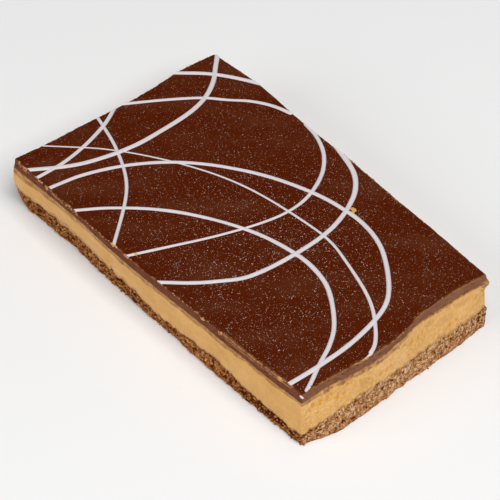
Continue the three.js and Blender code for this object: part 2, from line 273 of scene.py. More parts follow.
# The studio, in metres. A light has its turn from the front and its rise in degrees, its distance,
# and its width and height. The lens is for a frame 36 mm wide. The camera's aim is in millimetres.
FLOOR_HALF = 4.0
FLOOR_DROP = 0.00005
KEY_PLACE = (74.0, 56.0, 1.5)
KEY_SIZE = (0.9, 0.9)
FILL_PLACE = (-8.0, 32.0, 1.6)
FILL_SIZE = (1.2, 0.8)
CAMERA_TURN = 49.588
CAMERA_RISE = 45.041
CAMERA_AIM = (-0.71, -0.52)
CAMERA_DISTANCE = 0.71318
CAMERA_LENS = 187.2
CAMERA_SHIFT = (-0.00102, 0.0326)


# ---------------------------------------------------------------- settings

def length(name, description, default):
    """A size in metres that a user may change, given here in millimetres."""
    return FloatProperty(name=name, description=description, default=default * MM, min=0.0,
                         subtype="DISTANCE", unit="LENGTH", precision=5)


def colour(name, description, default):
    """A linear colour that a user may change."""
    return FloatVectorProperty(name=name, description=description, default=default, size=3,
                               subtype="COLOR", min=0.0, max=1.0)


class SliceSizes(bpy.types.PropertyGroup):
    """Sizes of the relief and of the small pieces."""

    crumb: length("Crumb", "Size of a large crumb in the cut base", 1.05)
    crumb_relief: length("Crumb relief", "How far crumbs stand out of the cut base", 0.20)
    tear_depth: length("Tear depth", "Depth of the tears in the short caramel faces", 0.16)
    streak_depth: length("Streak depth", "Depth of the knife's drag lines in the caramel", 0.03)
    lip: length("Lip", "Rounding of the chocolate's upper edge", 0.22)
    wave: length("Wave", "Rise and fall of the poured chocolate", 0.10)
    drizzle_height: length("Drizzle height", "Height of a strand above the chocolate", 0.34)
    speck: length("Speck", "Width of the largest sugar specks", 0.46)
    crumbs: IntProperty(name="Crumbs", description="Number of loose crumbs", default=1500, min=0)
    specks: IntProperty(name="Specks", description="Number of sugar specks", default=14500, min=0)


class SliceColours(bpy.types.PropertyGroup):
    """Colours of the food."""

    # The pit colour is painted shade, laid in the base's pits, gaps and creases.
    biscuit_pit_shade: colour("Biscuit pits", "Deep between the crumbs", (0.100, 0.019, 0.0022))
    biscuit: colour("Biscuit", "Base on the long cut faces", (0.46, 0.183, 0.055))
    biscuit_dry: colour("Dry biscuit", "Base on the short cut faces", (0.45, 0.222, 0.084))
    biscuit_rind: colour("Biscuit rind", "Fine dark crumbs under the caramel", (0.29, 0.105, 0.062))
    biscuit_light: colour("Biscuit grains", "Lightest crumbs", (0.72, 0.47, 0.29))
    caramel: colour("Caramel", "Cut caramel", (0.72, 0.393, 0.108))
    caramel_tear: colour("Caramel tear", "Clear caramel in a tear", (0.66, 0.285, 0.020))
    # The smear colour also paints the shade line just under the chocolate.
    smear: colour("Smear", "Chocolate dragged over the caramel", (0.39, 0.158, 0.028))
    smear_dry: colour("Dry smear", "Chocolate rubbed over the short faces", (0.40, 0.185, 0.060))
    chocolate: colour("Chocolate", "Glossy top", (0.084, 0.0108, 0.0010))
    # The haze is painted sheen: a paler tone that stands in for soft reflections on the glossy top.
    chocolate_sheen: colour("Haze", "Paler veil on the glossy top", (0.108, 0.028, 0.0095))
    chocolate_cut: colour("Cut chocolate", "Long cut faces", (0.190, 0.062, 0.035))
    chocolate_dry: colour("Dry chocolate", "Short cut faces", (0.235, 0.102, 0.054))
    drizzle: colour("Drizzle", "White chocolate", (0.735, 0.69, 0.71))
    # The flake colour also paints the highlight line along the lip of the right-facing sides.
    flake: colour("Flake", "Tan flakes along the upper edge", (0.60, 0.32, 0.12))
    speck_brown: colour("Brown speck", "Sugar that took up chocolate", (0.38, 0.21, 0.13))
    speck_white: colour("White speck", "Clean sugar", (0.92, 0.83, 0.78))


class SliceStage(bpy.types.PropertyGroup):
    """Floor, lights and camera."""

    floor: colour("Floor", "Pale studio floor", (0.93, 0.93, 0.93))
    key: FloatProperty(name="Key", description="Power of the high softbox on the right",
                       default=19.0, min=0.0, subtype="POWER", unit="POWER")
    fill: FloatProperty(name="Fill", description="Power of the softbox in front",
                        default=6.2, min=0.0, subtype="POWER", unit="POWER")
    surround: FloatProperty(name="Surround", description="Strength of the even studio light",
                            default=0.20, min=0.0)


class SliceSettings(bpy.types.PropertyGroup):
    """All that a user may change."""

    sizes: PointerProperty(type=SliceSizes)
    colours: PointerProperty(type=SliceColours)
    stage: PointerProperty(type=SliceStage)


def settings():
    """The scene's own settings."""
    return bpy.context.scene.caramel_slice


# ---------------------------------------------------------------- measuring the solids

def box_walk(low, high):
    """Points round a level box, counter-clockwise from its left front corner."""
    corners = np.array([(low[0], low[1]), (high[0], low[1]), (high[0], high[1]), (low[0], high[1])])
    sides = []
    for k, count in enumerate((LONG_COLUMNS, SHORT_COLUMNS) * 2):
        share = np.arange(count)[:, None] / count
        sides.append(corners[k] + (corners[(k + 1) % 4] - corners[k]) * share)
    return np.vstack(sides)


def smoothed(values, reach):
    """A ring of values, each averaged with its neighbours."""
    kernel = np.ones(2 * reach + 1) / (2 * reach + 1)
    return np.convolve(np.concatenate([values[-reach:], values, values[:reach]]), kernel, "valid")


def spread_evenly(values, count):
    """A few evenly spaced values drawn out to many, on straight lines between them."""
    return np.interp(np.linspace(0, len(values) - 1, count), np.arange(len(values)), values)


def grounded(flat):
    """Flat points given a height of 0."""
    return np.column_stack([flat, np.zeros(len(flat))])


def cross(a, b):
    """The flat cross product of two directions."""
    return a[0] * b[1] - a[1] * b[0]


class Slab:
    """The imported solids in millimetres: their cut faces and seams, column by column."""

    def __init__(self):
        self.trees = {}
        for name in (BISCUIT, CARAMEL, CHOCOLATE):
            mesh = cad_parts[name].data
            points = [v.co / MM for v in mesh.vertices]
            self.trees[name] = BVHTree.FromPolygons(points, [p.vertices for p in mesh.polygons])
        low, high = (np.array(corner) / MM for corner in CAD_BOX)
        self.low, self.high = low, high
        self.core = box_walk(low + CORE_INSET, high - CORE_INSET)
        out = box_walk(low, high) - self.core
        self.out = out / np.linalg.norm(out, axis=1)[:, None]
        self.count = len(self.core)
        self.top = self.measure_top()
        self.base_seam = self.measure_seam(BISCUIT)
        self.glaze_seam = self.measure_seam(CHOCOLATE)
        rim = self.squared(self.face(CARAMEL, (self.base_seam + self.glaze_seam) / 2))
        step = 3
        ahead = np.roll(rim, -step, axis=0) - np.roll(rim, step, axis=0)
        normal = np.stack([ahead[:, 1], -ahead[:, 0]], axis=1)
        self.normal = normal / np.linalg.norm(normal, axis=1)[:, None]

    def reach(self, name, j, z):
        """How far out of the core a level line from outside meets a layer, or None."""
        start, out = self.core[j], self.out[j]
        origin = Vector((*(start + out * OUTSIDE), z))
        distance = self.trees[name].ray_cast(origin, Vector((-out[0], -out[1], 0)))[3]
        return None if distance is None else OUTSIDE - distance

    def at(self, name, j, z):
        """The point of a layer's cut face at one column and height, or near it if the line misses."""
        reach = self.reach(name, j, z)
        return self.core[j] + self.out[j] * (CORE_INSET if reach is None else reach)

    def face(self, name, heights):
        """The points at every column's own height. A line that misses goes as far as the last."""
        found, last = np.zeros((self.count, 2)), CORE_INSET
        for j, z in enumerate(heights):
            reach = self.reach(name, j, z)
            last = last if reach is None else reach
            found[j] = self.core[j] + self.out[j] * last
        return found

    def rim_at(self, j):
        """The point of the chocolate's upper edge at one column."""
        return self.at(CHOCOLATE, j, self.top - RIM_DEPTH)

    def squared(self, ring):
        """A ring made sharp at the four corners, to which the lines of its sides are carried on."""
        made, reach = ring.copy(), 6
        for corner in CORNERS:
            lines = []
            for step in (-reach, reach):
                near = ring[(corner + step) % self.count]
                lines.append((near, ring[(corner + 2 * step) % self.count] - near))
            for j in range(corner - reach + 1, corner + reach):
                start, out = self.core[j], self.out[j]
                made[j] = start + out * min(cross(p - start, d) / cross(out, d) for p, d in lines)
        return made

    def span(self, name):
        """The heights between which a layer's cut face is measured, clear of its rounded edge."""
        rounding = 0.45
        return {BISCUIT: (np.zeros(self.count), self.base_seam),
                CARAMEL: (self.base_seam, self.glaze_seam),
                CHOCOLATE: (self.glaze_seam, np.full(self.count, self.top - rounding))}[name]

    def drop(self, name, x, y):
        """The height at which a plumb line from above meets a layer."""
        hit = self.trees[name].ray_cast(Vector((x, y, 2 * self.high[2])), Vector((0, 0, -1)))[0]
        return math.nan if hit is None else hit.z

    def lift(self, name, x, y):
        """The height at which a plumb line from below meets a layer."""
        hit = self.trees[name].ray_cast(Vector((x, y, -1)), Vector((0, 0, 1)))[0]
        return math.nan if hit is None else hit.z

    def measure_top(self):
        """The chocolate's own surface: the usual height between the strands."""
        xs = np.linspace(self.low[0], self.high[0], 40)[4:-4]
        ys = np.linspace(self.low[1], self.high[1], 24)[3:-3]
        return float(np.median([self.drop(CHOCOLATE, x, y) for x in xs for y in ys]))

    def measure_seam(self, name):
        """The base's upper side or the chocolate's lower one, from two points inside each column."""
        near, far = 1.2, 2.2
        if name == BISCUIT:
            probe, level, into_layer = self.drop, 3.0, -0.5
        else:
            probe, level, into_layer = self.lift, self.top - 0.6, 0.5
        heights = np.full(self.count, level)
        for _ in range(2):
            rim = self.face(name, heights)
            inner = np.array([[probe(name, *(p - out * depth)) for depth in (near, far)]
                              for p, out in zip(rim, self.out)])
            seam = smoothed(inner[:, 0] + (inner[:, 0] - inner[:, 1]) * near / (far - near), 4)
            heights = seam + into_layer
        return seam

    def columns(self, side, start=-math.inf, end=math.inf):
        """The columns of one side, with their x or y, that lie between two places on it."""
        number = SIDES.index(side)
        axis = number % 2
        numbers = CORNERS[number] + np.arange((LONG_COLUMNS, SHORT_COLUMNS)[axis])
        places = box_walk(self.low, self.high)[numbers, axis]
        kept = (places >= start) & (places <= end)
        return numbers[kept], places[kept]


SLAB = Slab()


# ---------------------------------------------------------------- making skins

def noise_at(points, scale, seed=0.0):
    """Smooth noise from about -1 to 1 at each point. Its scale is one or three sizes."""
    shifted = points / np.array(scale) + seed
    return np.array([noise.noise(Vector(p)) for p in shifted])


def cells_at(points, scale, seed=0.0):
    """Of the nearest cell of each point: its distance, the next one's, and a random 0 to 1."""
    shifted = points / np.array(scale) + seed
    apart = 7.3
    rows = []
    for p in shifted:
        distances, centres = noise.voronoi(Vector(p))
        rows.append((distances[0], distances[1], noise.cell(centres[0] * apart) / 2 + 0.5))
    return np.array(rows).T


def smoothstep(low, high, value):
    """0 below low, 1 above high, and an even turn between them."""
    t = np.clip((value - low) / (high - low), 0, 1)
    return t * t * (3 - 2 * t)


class Skin:
    """A closed skin in millimetres, built from rings of columns. Each point may carry values."""

    def __init__(self, *values):
        self.points, self.faces = [], []
        self.values = {name: [] for name in values}
        self.size = 0

    def add(self, points, **values):
        """Adds points and returns their numbers."""
        self.points.append(np.asarray(points, float))
        for name, kept in self.values.items():
            kept.append(np.broadcast_to(values.get(name, 0.0), len(points)))
        self.size += len(points)
        return np.arange(self.size - len(points), self.size)

    def band(self, a, b):
        """Quads from ring a to ring b, which lies above it on a wall or inside it on a top."""
        self.faces += np.stack([a, np.roll(a, -1), np.roll(b, -1), b], axis=1).tolist()

    def raise_wall(self, rows, **fields):
        """Adds wall points row by row and returns the lowest and the highest ring."""
        rings = []
        for k, row in enumerate(rows):
            rings.append(self.add(row, **{key: field[k] for key, field in fields.items()}))
        for a, b in zip(rings, rings[1:]):
            self.band(a, b)
        return rings[0], rings[-1]

    def gather(self, many, few, flip=False):
        """Triangles from a ring to one inside it with fewer columns."""
        step = len(many) // len(few)
        made = []
        for g, inner in enumerate(few):
            for j in range(g * step, (g + 1) * step):
                made.append([many[j], many[(j + 1) % len(many)], inner])
            made.append([many[(g + 1) * step % len(many)], few[(g + 1) % len(few)], inner])
        self.faces += [face[::-1] for face in made] if flip else made

    def fill(self, ring, height, flip=False, **values):
        """A grid of quads across the core, inside a ring of its columns."""
        step = SLAB.count // len(ring)
        nx, ny = LONG_COLUMNS // step, SHORT_COLUMNS // step
        grid = np.zeros((ny + 1, nx + 1), int)
        grid[0, :nx] = ring[:nx]
        grid[:ny, nx] = ring[nx:nx + ny]
        grid[ny, nx:0:-1] = ring[nx + ny:2 * nx + ny]
        grid[ny:0:-1, 0] = ring[2 * nx + ny:]
        low, high = SLAB.low + CORE_INSET, SLAB.high - CORE_INSET
        x, y = np.meshgrid(np.linspace(low[0], high[0], nx + 1)[1:-1],
                           np.linspace(low[1], high[1], ny + 1)[1:-1])
        flat = np.stack([x.ravel(), y.ravel()], axis=1)
        kept = {key: value(flat) if callable(value) else value for key, value in values.items()}
        inner = self.add(np.column_stack([flat, height(flat)]), **kept)
        grid[1:-1, 1:-1] = inner.reshape(ny - 1, nx - 1)
        quads = np.stack([grid[:-1, :-1], grid[:-1, 1:], grid[1:, 1:], grid[1:, :-1]], axis=-1)
        quads = quads.reshape(-1, 4)
        self.faces += (quads[:, ::-1] if flip else quads).tolist()

    def close(self, ring, level, flip=False, **values):
        """Closes a ring out of sight with a flat middle at a level, with few faces."""
        core = SLAB.core[::HIDDEN_STEP]
        inner = self.add(np.column_stack([core, np.full(len(core), level)]), **values)
        self.gather(ring, inner, flip)
        self.fill(inner, lambda flat: np.full(len(flat), level), flip, **values)

    def to_object(self, name, material, smooth=True):
        """The finished piece, in metres."""
        points = np.vstack(self.points) * MM
        mesh = bpy.data.meshes.new(name)
        mesh.from_pydata(points.tolist(), [], self.faces)
        for key, kept in self.values.items():
            layer = mesh.attributes.new(key, "FLOAT", "POINT")
            layer.data.foreach_set("value", np.concatenate(kept).astype(np.float32))
        mesh.polygons.foreach_set("use_smooth", [smooth] * len(mesh.polygons))
        mesh.materials.append(material)
        mesh.validate()
        piece = bpy.data.objects.new(name, mesh)
        bpy.context.scene.collection.objects.link(piece)
        return piece


def set_on_slice(piece, slot, *nodes):
    """Puts a finished piece on the slice, in place of the solids that it stands for."""
    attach(piece, "root")
    if nodes:
        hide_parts(*nodes)


def wall(name, low, high, rows):
    """Points up a layer's cut face, as rows x columns x 3. The solid is measured just inside."""
    inside = 0.05
    foot, head = SLAB.span(name)
    made = np.zeros((rows, SLAB.count, 3))
    for k, share in enumerate(np.linspace(0, 1, rows)):
        ring = SLAB.face(name, foot + (head - foot) * (inside + share * (1 - 2 * inside)))
        made[k, :, :2] = ring if name == BISCUIT else SLAB.squared(ring)
        made[k, :, 2] = low + (high - low) * share
    return made


def along_sides(stations, plain):
    """A value for each column, from evenly spaced places on some sides and plain elsewhere."""
    values = np.full(SLAB.count, float(plain))
    for side, row in stations.items():
        numbers, _ = SLAB.columns(side)
        values[numbers] = spread_evenly(row, len(numbers))
    return smoothed(values, 3)


def by_rows(rows, **fields):
    """Values for all points of a wall, laid out as rows x columns."""
    return {name: field.reshape(rows, SLAB.count) for name, field in fields.items()}


def corner_share(width, corners=CORNERS):
    """For each column, 1 at the given corners, falling to 0 over a number of columns."""
    gaps = np.abs(np.arange(SLAB.count)[:, None] - np.array(corners))
    gaps = np.minimum(gaps, SLAB.count - gaps).min(axis=1)
    return np.exp(-((gaps / width) ** 2))


def flange(rows):
    """How far the drawn-out corner stands out at each row, given as shares from 0 to 1."""
    return CORNER_FLANGE * corner_share(FLANGE_COLUMNS, BACK_RIGHT)[None] * rows[:, None]


def marks(points, side, ovals):
    """How well each wall point lies inside any of some ragged ovals on one side, 0 to 1."""
    numbers, _ = SLAB.columns(side)
    on_side = np.zeros(SLAB.count)
    on_side[numbers] = 1
    axis = SIDES.index(side) % 2
    rough = 0.45 * noise_at(points, 0.5, 51.0)
    found = np.zeros(len(points))
    for place, height, half_width, half_height in ovals:
        span = np.hypot((points[:, axis] - place) / half_width, (points[:, 2] - height) / half_height)
        found = np.maximum(found, smoothstep(1.25, 0.70, span + rough))
    return found * np.tile(on_side, len(points) // SLAB.count)


def push(points, amount):
    """Wall points moved out along the cut face's normals."""
    moved = points.copy()
    moved[:, :, :2] += SLAB.normal[None] * amount[:, :, None]
    return moved


def column_side():
    """For each column, 1 on the long sides and 0 on the short ones."""
    return smoothstep(0.35, 0.65, np.abs(SLAB.normal[:, 1]))


def outer_ring():
    """A point for each column, close to the slice's sides, where the seams' noise is read."""
    return grounded(SLAB.core + SLAB.out * CORE_INSET)


def base_seam():
    """The ragged line between base and caramel."""
    ring = outer_ring()
    return SLAB.base_seam + 0.55 * noise_at(ring, 1.0, 5.0) + 0.75 * noise_at(ring, 2.5, 8.0)


def glaze_seam():
    """The line between caramel and chocolate, which is smoother."""
    ring = outer_ring()
    return SLAB.glaze_seam + 0.09 * noise_at(ring, 0.9, 2.0) + 0.14 * noise_at(ring, 2.7, 3.0)


def pour_height(flat):
    """Height of the poured chocolate's gently wavy surface."""
    wave = settings().sizes.wave / MM
    points = grounded(flat)
    return SLAB.top + wave * (noise_at(points, 19.0, 1.0) + 0.35 * noise_at(points, 6.0, 4.0))


def painted_sheen_at(flat):
    """Painted sheen on the poured chocolate, 0 to 1: long soft bands across the view, paler towards the
    back, in place of soft reflections.
    """
    turn = math.radians(CAMERA_TURN)
    along = flat @ (math.cos(turn), math.sin(turn))
    across = flat @ (-math.sin(turn), math.cos(turn))
    bands = noise_at(grounded(np.column_stack([along, across])), (21.0, 7.0, 1.0), 5.0)
    cloud = noise_at(grounded(flat), 3.4, 9.0)
    return np.clip(0.10 + 0.70 * bands + 0.20 * cloud + 0.08 * smoothstep(-10, 45, across), 0, 1)


# ---------------------------------------------------------------- materials

def toned(tint, shares):
    """A darker or lighter tone of a colour."""
    return [min(1.0, part * share) for part, share in zip(tint, shares)]


class Graph:
    """Adds nodes to a tree. A value given for a socket is set, and a socket given is linked."""

    def __init__(self, tree):
        self.tree = tree

    def add(self, kind, sockets=None, **options):
        """One node with its sockets and its own options."""
        node = self.tree.nodes.new(kind)
        for key, value in options.items():
            setattr(node, key, value)
        for key, value in (sockets or {}).items():
            if isinstance(value, bpy.types.NodeSocket):
                self.tree.links.new(value, node.inputs[key])
            else:
                node.inputs[key].default_value = value
        return node

    def mix(self, factor, a, b, blend="MIX"):
        """A blend of two colours, which are the node's sockets 6 and 7, and its output 2."""
        colours = [value if isinstance(value, bpy.types.NodeSocket) else (*value[:3], 1.0)
                   for value in (a, b)]
        return self.add("ShaderNodeMix", {0: factor, 6: colours[0], 7: colours[1]},
                        data_type="RGBA", blend_type=blend).outputs[2]

    def shade(self, tint, shares):
        """A linked colour multiplied by shares of red, green and blue."""
        return self.mix(1.0, tint, shares, "MULTIPLY")

    def math(self, operation, a, b=0.0, clamp=False):
        """One sum of two values."""
        return self.add("ShaderNodeMath", {0: a, 1: b}, operation=operation,
                        use_clamp=clamp).outputs[0]

    def weighed(self, *parts, clamp=False):
        """The sum of some (value, weight) pairs."""
        total, *others = [self.math("MULTIPLY", value, weight) for value, weight in parts]
        for k, other in enumerate(others, 1):
            total = self.math("ADD", total, other, clamp=clamp and k == len(others))
        return total

    def spread(self, value, low, high, to_low=0.0, to_high=1.0):
        """A value stretched from one range to another, and held within it."""
        return self.add("ShaderNodeMapRange", {"Value": value, "From Min": low, "From Max": high,
                                               "To Min": to_low, "To Max": to_high}).outputs[0]

    def value_of(self, name):
        """A value that the mesh carries on its points."""
        return self.add("ShaderNodeAttribute", attribute_name=name).outputs["Fac"]


def effect(name, inputs, outputs):
    """An empty node group with named sockets, and its graph and two ends."""
    tree = bpy.data.node_groups.new(name, "ShaderNodeTree")
    for socket, kind, default in inputs:
        made = tree.interface.new_socket(socket, in_out="INPUT", socket_type=kind)
        made.default_value = default
    for socket, kind in outputs:
        tree.interface.new_socket(socket, in_out="OUTPUT", socket_type=kind)
    graph = Graph(tree)
    return tree, graph, graph.add("NodeGroupInput"), graph.add("NodeGroupOutput")


def mottle_effect():
    """Soft uneven patches from 0 to 1, at a size given in millimetres."""
    if "Mottle" in bpy.data.node_groups:
        return bpy.data.node_groups["Mottle"]
    tree, graph, start, end = effect(
        "Mottle",
        [("Size mm", "NodeSocketFloat", 5.0), ("Detail", "NodeSocketFloat", 3.0),
         ("Contrast", "NodeSocketFloat", 1.0), ("Distortion", "NodeSocketFloat", 0.0)],
        [("Value", "NodeSocketFloat")],
    )
    place = graph.add("ShaderNodeTexCoord").outputs["Object"]
    scale = graph.math("DIVIDE", 1 / MM, start.outputs["Size mm"])
    cloud = graph.add("ShaderNodeTexNoise", {"Vector": place, "Scale": scale,
                                             "Detail": start.outputs["Detail"],
                                             "Distortion": start.outputs["Distortion"]})
    centred = graph.math("SUBTRACT", cloud.outputs["Fac"], 0.5)
    sharp = graph.math("MULTIPLY", centred, graph.math("MULTIPLY", start.outputs["Contrast"], 2.2))
    value = graph.math("ADD", sharp, 0.5, clamp=True)
    tree.links.new(value, end.inputs["Value"])
    return tree


def drag_effect():
    """Fine level lines left by the knife, from 0 to 1, at a spacing given in millimetres."""
    if "Knife drag" in bpy.data.node_groups:
        return bpy.data.node_groups["Knife drag"]
    tree, graph, start, end = effect(
        "Knife drag",
        [("Spacing mm", "NodeSocketFloat", 0.5), ("Length", "NodeSocketFloat", 14.0)],
        [("Value", "NodeSocketFloat")],
    )
    place = graph.add("ShaderNodeTexCoord").outputs["Object"]
    fine = graph.math("DIVIDE", 1 / MM, start.outputs["Spacing mm"])
    long = graph.math("DIVIDE", fine, start.outputs["Length"])
    scale = graph.add("ShaderNodeCombineXYZ", {"X": long, "Y": long, "Z": fine}).outputs[0]
    stretched = graph.add("ShaderNodeVectorMath", {0: place, 1: scale}, operation="MULTIPLY")
    lines = graph.add("ShaderNodeTexNoise", {"Vector": stretched.outputs[0], "Scale": 1.0,
                                             "Detail": 3.0})
    tree.links.new(graph.spread(lines.outputs["Fac"], 0.3, 0.7), end.inputs["Value"])
    return tree


def use_effect(graph, tree, **sockets):
    """An effect placed in a material with its own values."""
    named = {key.replace("_", " "): value for key, value in sockets.items()}
    return graph.add("ShaderNodeGroup", named, node_tree=tree).outputs["Value"]


def new_material(name):
    """An empty material: its graph, its shader and the material itself."""
    material = bpy.data.materials.new(name)
    material.use_nodes = True
    material.node_tree.nodes.clear()
    graph = Graph(material.node_tree)
    shader = graph.add("ShaderNodeBsdfPrincipled")
    graph.add("ShaderNodeOutputMaterial", {"Surface": shader.outputs["BSDF"]})
    return graph, shader, material


def finish_surface(graph, shader, base, rough, height, depth, strength=1.0):
    """Links a surface's colour, roughness and fine bump, the bump's depth in millimetres."""
    bump = graph.add("ShaderNodeBump", {"Height": height, "Distance": depth * MM,
                                        "Strength": strength})
    graph.tree.links.new(base, shader.inputs["Base Color"])
    graph.tree.links.new(rough, shader.inputs["Roughness"])
    graph.tree.links.new(bump.outputs["Normal"], shader.inputs["Normal"])


def biscuit_material():
    """Baked crumbs: a tone for each crumb, painted shade in the pits between them, and pale dry grains.
    """
    if "baked_biscuit" in bpy.data.materials:
        return bpy.data.materials["baked_biscuit"]
    colours = settings().colours
    graph, shader, material = new_material("baked_biscuit")
    clumps = use_effect(graph, mottle_effect(), Size_mm=1.5, Detail=3.0, Contrast=1.5)
    grain = use_effect(graph, mottle_effect(), Size_mm=0.45, Detail=4.0, Contrast=1.9)
    gaps = use_effect(graph, mottle_effect(), Size_mm=0.9, Detail=4.0, Contrast=2.0)
    tone = graph.weighed((graph.value_of("tone"), 0.40), (grain, 0.34), (clumps, 0.26), clamp=True)
    dry = graph.value_of("dry")
    body = graph.mix(dry, colours.biscuit, colours.biscuit_dry)
    body = graph.mix(graph.value_of("rind"), body, colours.biscuit_rind)
    deep = graph.shade(body, graph.mix(dry, BISCUIT_DEEP, BISCUIT_DEEP_DRY))
    body = graph.mix(graph.spread(tone, 0.22, 0.50), deep, body)
    pale = graph.mix(dry, toned(colours.biscuit_light, GRAIN_GOLDEN), colours.biscuit_light)
    lit = graph.math("ADD", tone, graph.math("MULTIPLY", dry, 0.07))
    body = graph.mix(graph.spread(lit, 0.55, 0.80), body, pale)
    # Painted shade: pits, gaps and hollows go to the dark pit colour.
    open_share = graph.math("ADD", graph.value_of("pitted"), graph.math("MULTIPLY", dry, 0.22))
    hole = graph.math("MULTIPLY", graph.spread(gaps, 0.40, 0.12), open_share)
    hole = graph.math("ADD", hole, graph.value_of("hollow"), clamp=True)
    base = graph.mix(graph.spread(hole, 0.10, 0.72), body, colours.biscuit_pit_shade)
    rough = graph.spread(grain, 0.0, 1.0, 0.98, 0.85)
    shader.inputs["Specular IOR Level"].default_value = 0.03
    finish_surface(graph, shader, base, rough, grain, 0.09, 0.9)
    return material


def caramel_material():
    """Soft caramel: drag lines, clear tears, and chocolate smeared down from above, with a thin line of
    painted shade just under the chocolate.
    """
    if "soft_caramel" in bpy.data.materials:
        return bpy.data.materials["soft_caramel"]
    colours = settings().colours
    graph, shader, material = new_material("soft_caramel")
    short = graph.value_of("short")
    lines = use_effect(graph, drag_effect(), Spacing_mm=0.7, Length=11.0)
    cloud = use_effect(graph, mottle_effect(), Size_mm=7.0, Detail=3.0, Contrast=1.2)
    grain = use_effect(graph, mottle_effect(), Size_mm=0.85, Detail=5.0, Contrast=2.2)
    smooth = graph.weighed((lines, 0.22), (cloud, 0.56), (grain, 0.22))
    torn = graph.weighed((grain, 0.55), (cloud, 0.45))
    tone = graph.add("ShaderNodeMix", {"Factor": short, "A": smooth, "B": torn}).outputs[0]
    pale = graph.mix(short, toned(colours.caramel, CARAMEL_PALE),
                     toned(colours.caramel, CARAMEL_PALE_TORN))
    base = graph.mix(tone, toned(colours.caramel, CARAMEL_DARK), pale)
    base = graph.mix(graph.value_of("tear"), base, colours.caramel_tear)
    dust = graph.mix(short, toned(colours.biscuit, DUST), toned(colours.biscuit_dry, DUST_DRY))
    base = graph.mix(graph.value_of("dust"), base, dust)
    smear = graph.value_of("smear")
    rubbed = graph.mix(short, colours.smear, colours.smear_dry)
    base = graph.mix(graph.spread(smear, 0.0, 0.6), base, rubbed)
    base = graph.mix(graph.spread(smear, 0.6, 1.0), base, graph.shade(rubbed, SMEAR_THICK))
    rough = graph.spread(cloud, 0.0, 1.0, 0.58, 0.44)
    height = graph.add("ShaderNodeMix", {"Factor": short, "A": lines, "B": grain}).outputs[0]
    shader.inputs["Specular IOR Level"].default_value = 0.30
    shader.inputs["Subsurface Weight"].default_value = 0.12
    shader.inputs["Subsurface Radius"].default_value = (1.0, 0.5, 0.2)
    shader.inputs["Subsurface Scale"].default_value = 1.2 * MM
    finish_surface(graph, shader, base, rough, height, 0.09, 0.85)
    return material


def chocolate_material():
    """Dark glossy chocolate above, paler matte chocolate where it was cut."""
    colours = settings().colours
    graph, shader, material = new_material("set_chocolate")
    cut = graph.value_of("cut")
    cloud = use_effect(graph, mottle_effect(), Size_mm=26.0, Detail=5.0, Contrast=1.4)
    blotch = use_effect(graph, mottle_effect(), Size_mm=3.2, Detail=4.0, Contrast=1.6)
    grain = use_effect(graph, mottle_effect(), Size_mm=0.8, Detail=4.0, Contrast=1.3)
    lines = use_effect(graph, drag_effect(), Spacing_mm=0.45, Length=9.0)
    # Painted sheen: the top is mixed towards the paler haze colour in long soft bands, in place of
    # reflections.
    veil = graph.math("ADD", graph.value_of("veil"), graph.spread(blotch, 0.0, 1.0, -0.12, 0.12),
                      clamp=True)
    top = graph.mix(veil, colours.chocolate, colours.chocolate_sheen)
    face = graph.mix(graph.value_of("short"), colours.chocolate_cut, colours.chocolate_dry)
    uneven = graph.weighed((lines, 0.5), (blotch, 0.5))
    face = graph.mix(uneven, graph.shade(face, CUT_DARK), graph.shade(face, CUT_PALE))
    # The dark mark is gaps and spots in the cut face, and painted shade on the left-facing lip.
    face = graph.mix(graph.value_of("dark"), face, toned(colours.chocolate, GAP_AND_SHADE_DARK))
    base = graph.mix(cut, top, face)
    # The tan mark is flaked caramel, and along the right-facing lip also a painted highlight line.
    flaky = graph.math("MULTIPLY", graph.value_of("tan"), graph.spread(grain, 0.0, 0.5, 0.45, 1.0))
    base = graph.mix(flaky, base, colours.flake)
    gloss = graph.math("ADD", graph.spread(cloud, 0.0, 1.0, 0.30, 0.42),
                       graph.math("MULTIPLY", grain, 0.05))
    rough = graph.math("ADD", gloss, graph.math("MULTIPLY", cut, 0.35), clamp=True)
    height = graph.weighed((grain, 0.35), (graph.math("MULTIPLY", lines, cut), 0.9))
    shader.inputs["Specular IOR Level"].default_value = 0.03
    finish_surface(graph, shader, base, rough, height, 0.03, 0.6)
    return material


def drizzle_material():
    """White chocolate: smooth, hardly mottled and a little glossy."""
    tint = settings().colours.drizzle
    graph, shader, material = new_material("white_chocolate")
    cloud = use_effect(graph, mottle_effect(), Size_mm=6.0, Detail=3.0, Contrast=1.2)
    grain = use_effect(graph, mottle_effect(), Size_mm=0.3, Detail=3.0, Contrast=1.0)
    base = graph.mix(cloud, toned(tint, DRIZZLE_DARK), tint)
    rough = graph.spread(grain, 0.0, 1.0, 0.42, 0.52)
    shader.inputs["Specular IOR Level"].default_value = 0.3
    finish_surface(graph, shader, base, rough, grain, 0.015, 0.7)
    return material


def flake_material():
    """Dried caramel and chocolate: from amber to tan, a tone for each flake."""
    tint = settings().colours.flake
    graph, shader, material = new_material("edge_flake")
    grain = use_effect(graph, mottle_effect(), Size_mm=0.5, Detail=3.0, Contrast=1.4)
    tone = graph.weighed((graph.value_of("tone"), 0.7), (grain, 0.4), clamp=True)
    base = graph.mix(tone, toned(tint, FLAKE_AMBER), toned(tint, FLAKE_PALE))
    rough = graph.spread(grain, 0.0, 1.0, 0.6, 0.8)
    shader.inputs["Specular IOR Level"].default_value = 0.3
    finish_surface(graph, shader, base, rough, grain, 0.05, 0.7)
    return material


def speck_material():
    """Sugar: white to pale brown, a tone for each speck."""
    colours = settings().colours
    graph, shader, material = new_material("sugar_speck")
    tint = graph.mix(graph.value_of("tone"), colours.speck_brown, colours.speck_white)
    grain = use_effect(graph, mottle_effect(), Size_mm=0.1, Detail=1.0, Contrast=1.0)
    rough = graph.spread(grain, 0.0, 1.0, 0.5, 0.7)
    finish_surface(graph, shader, tint, rough, grain, 0.02, 0.5)
    return material


# ---------------------------------------------------------------- the layers

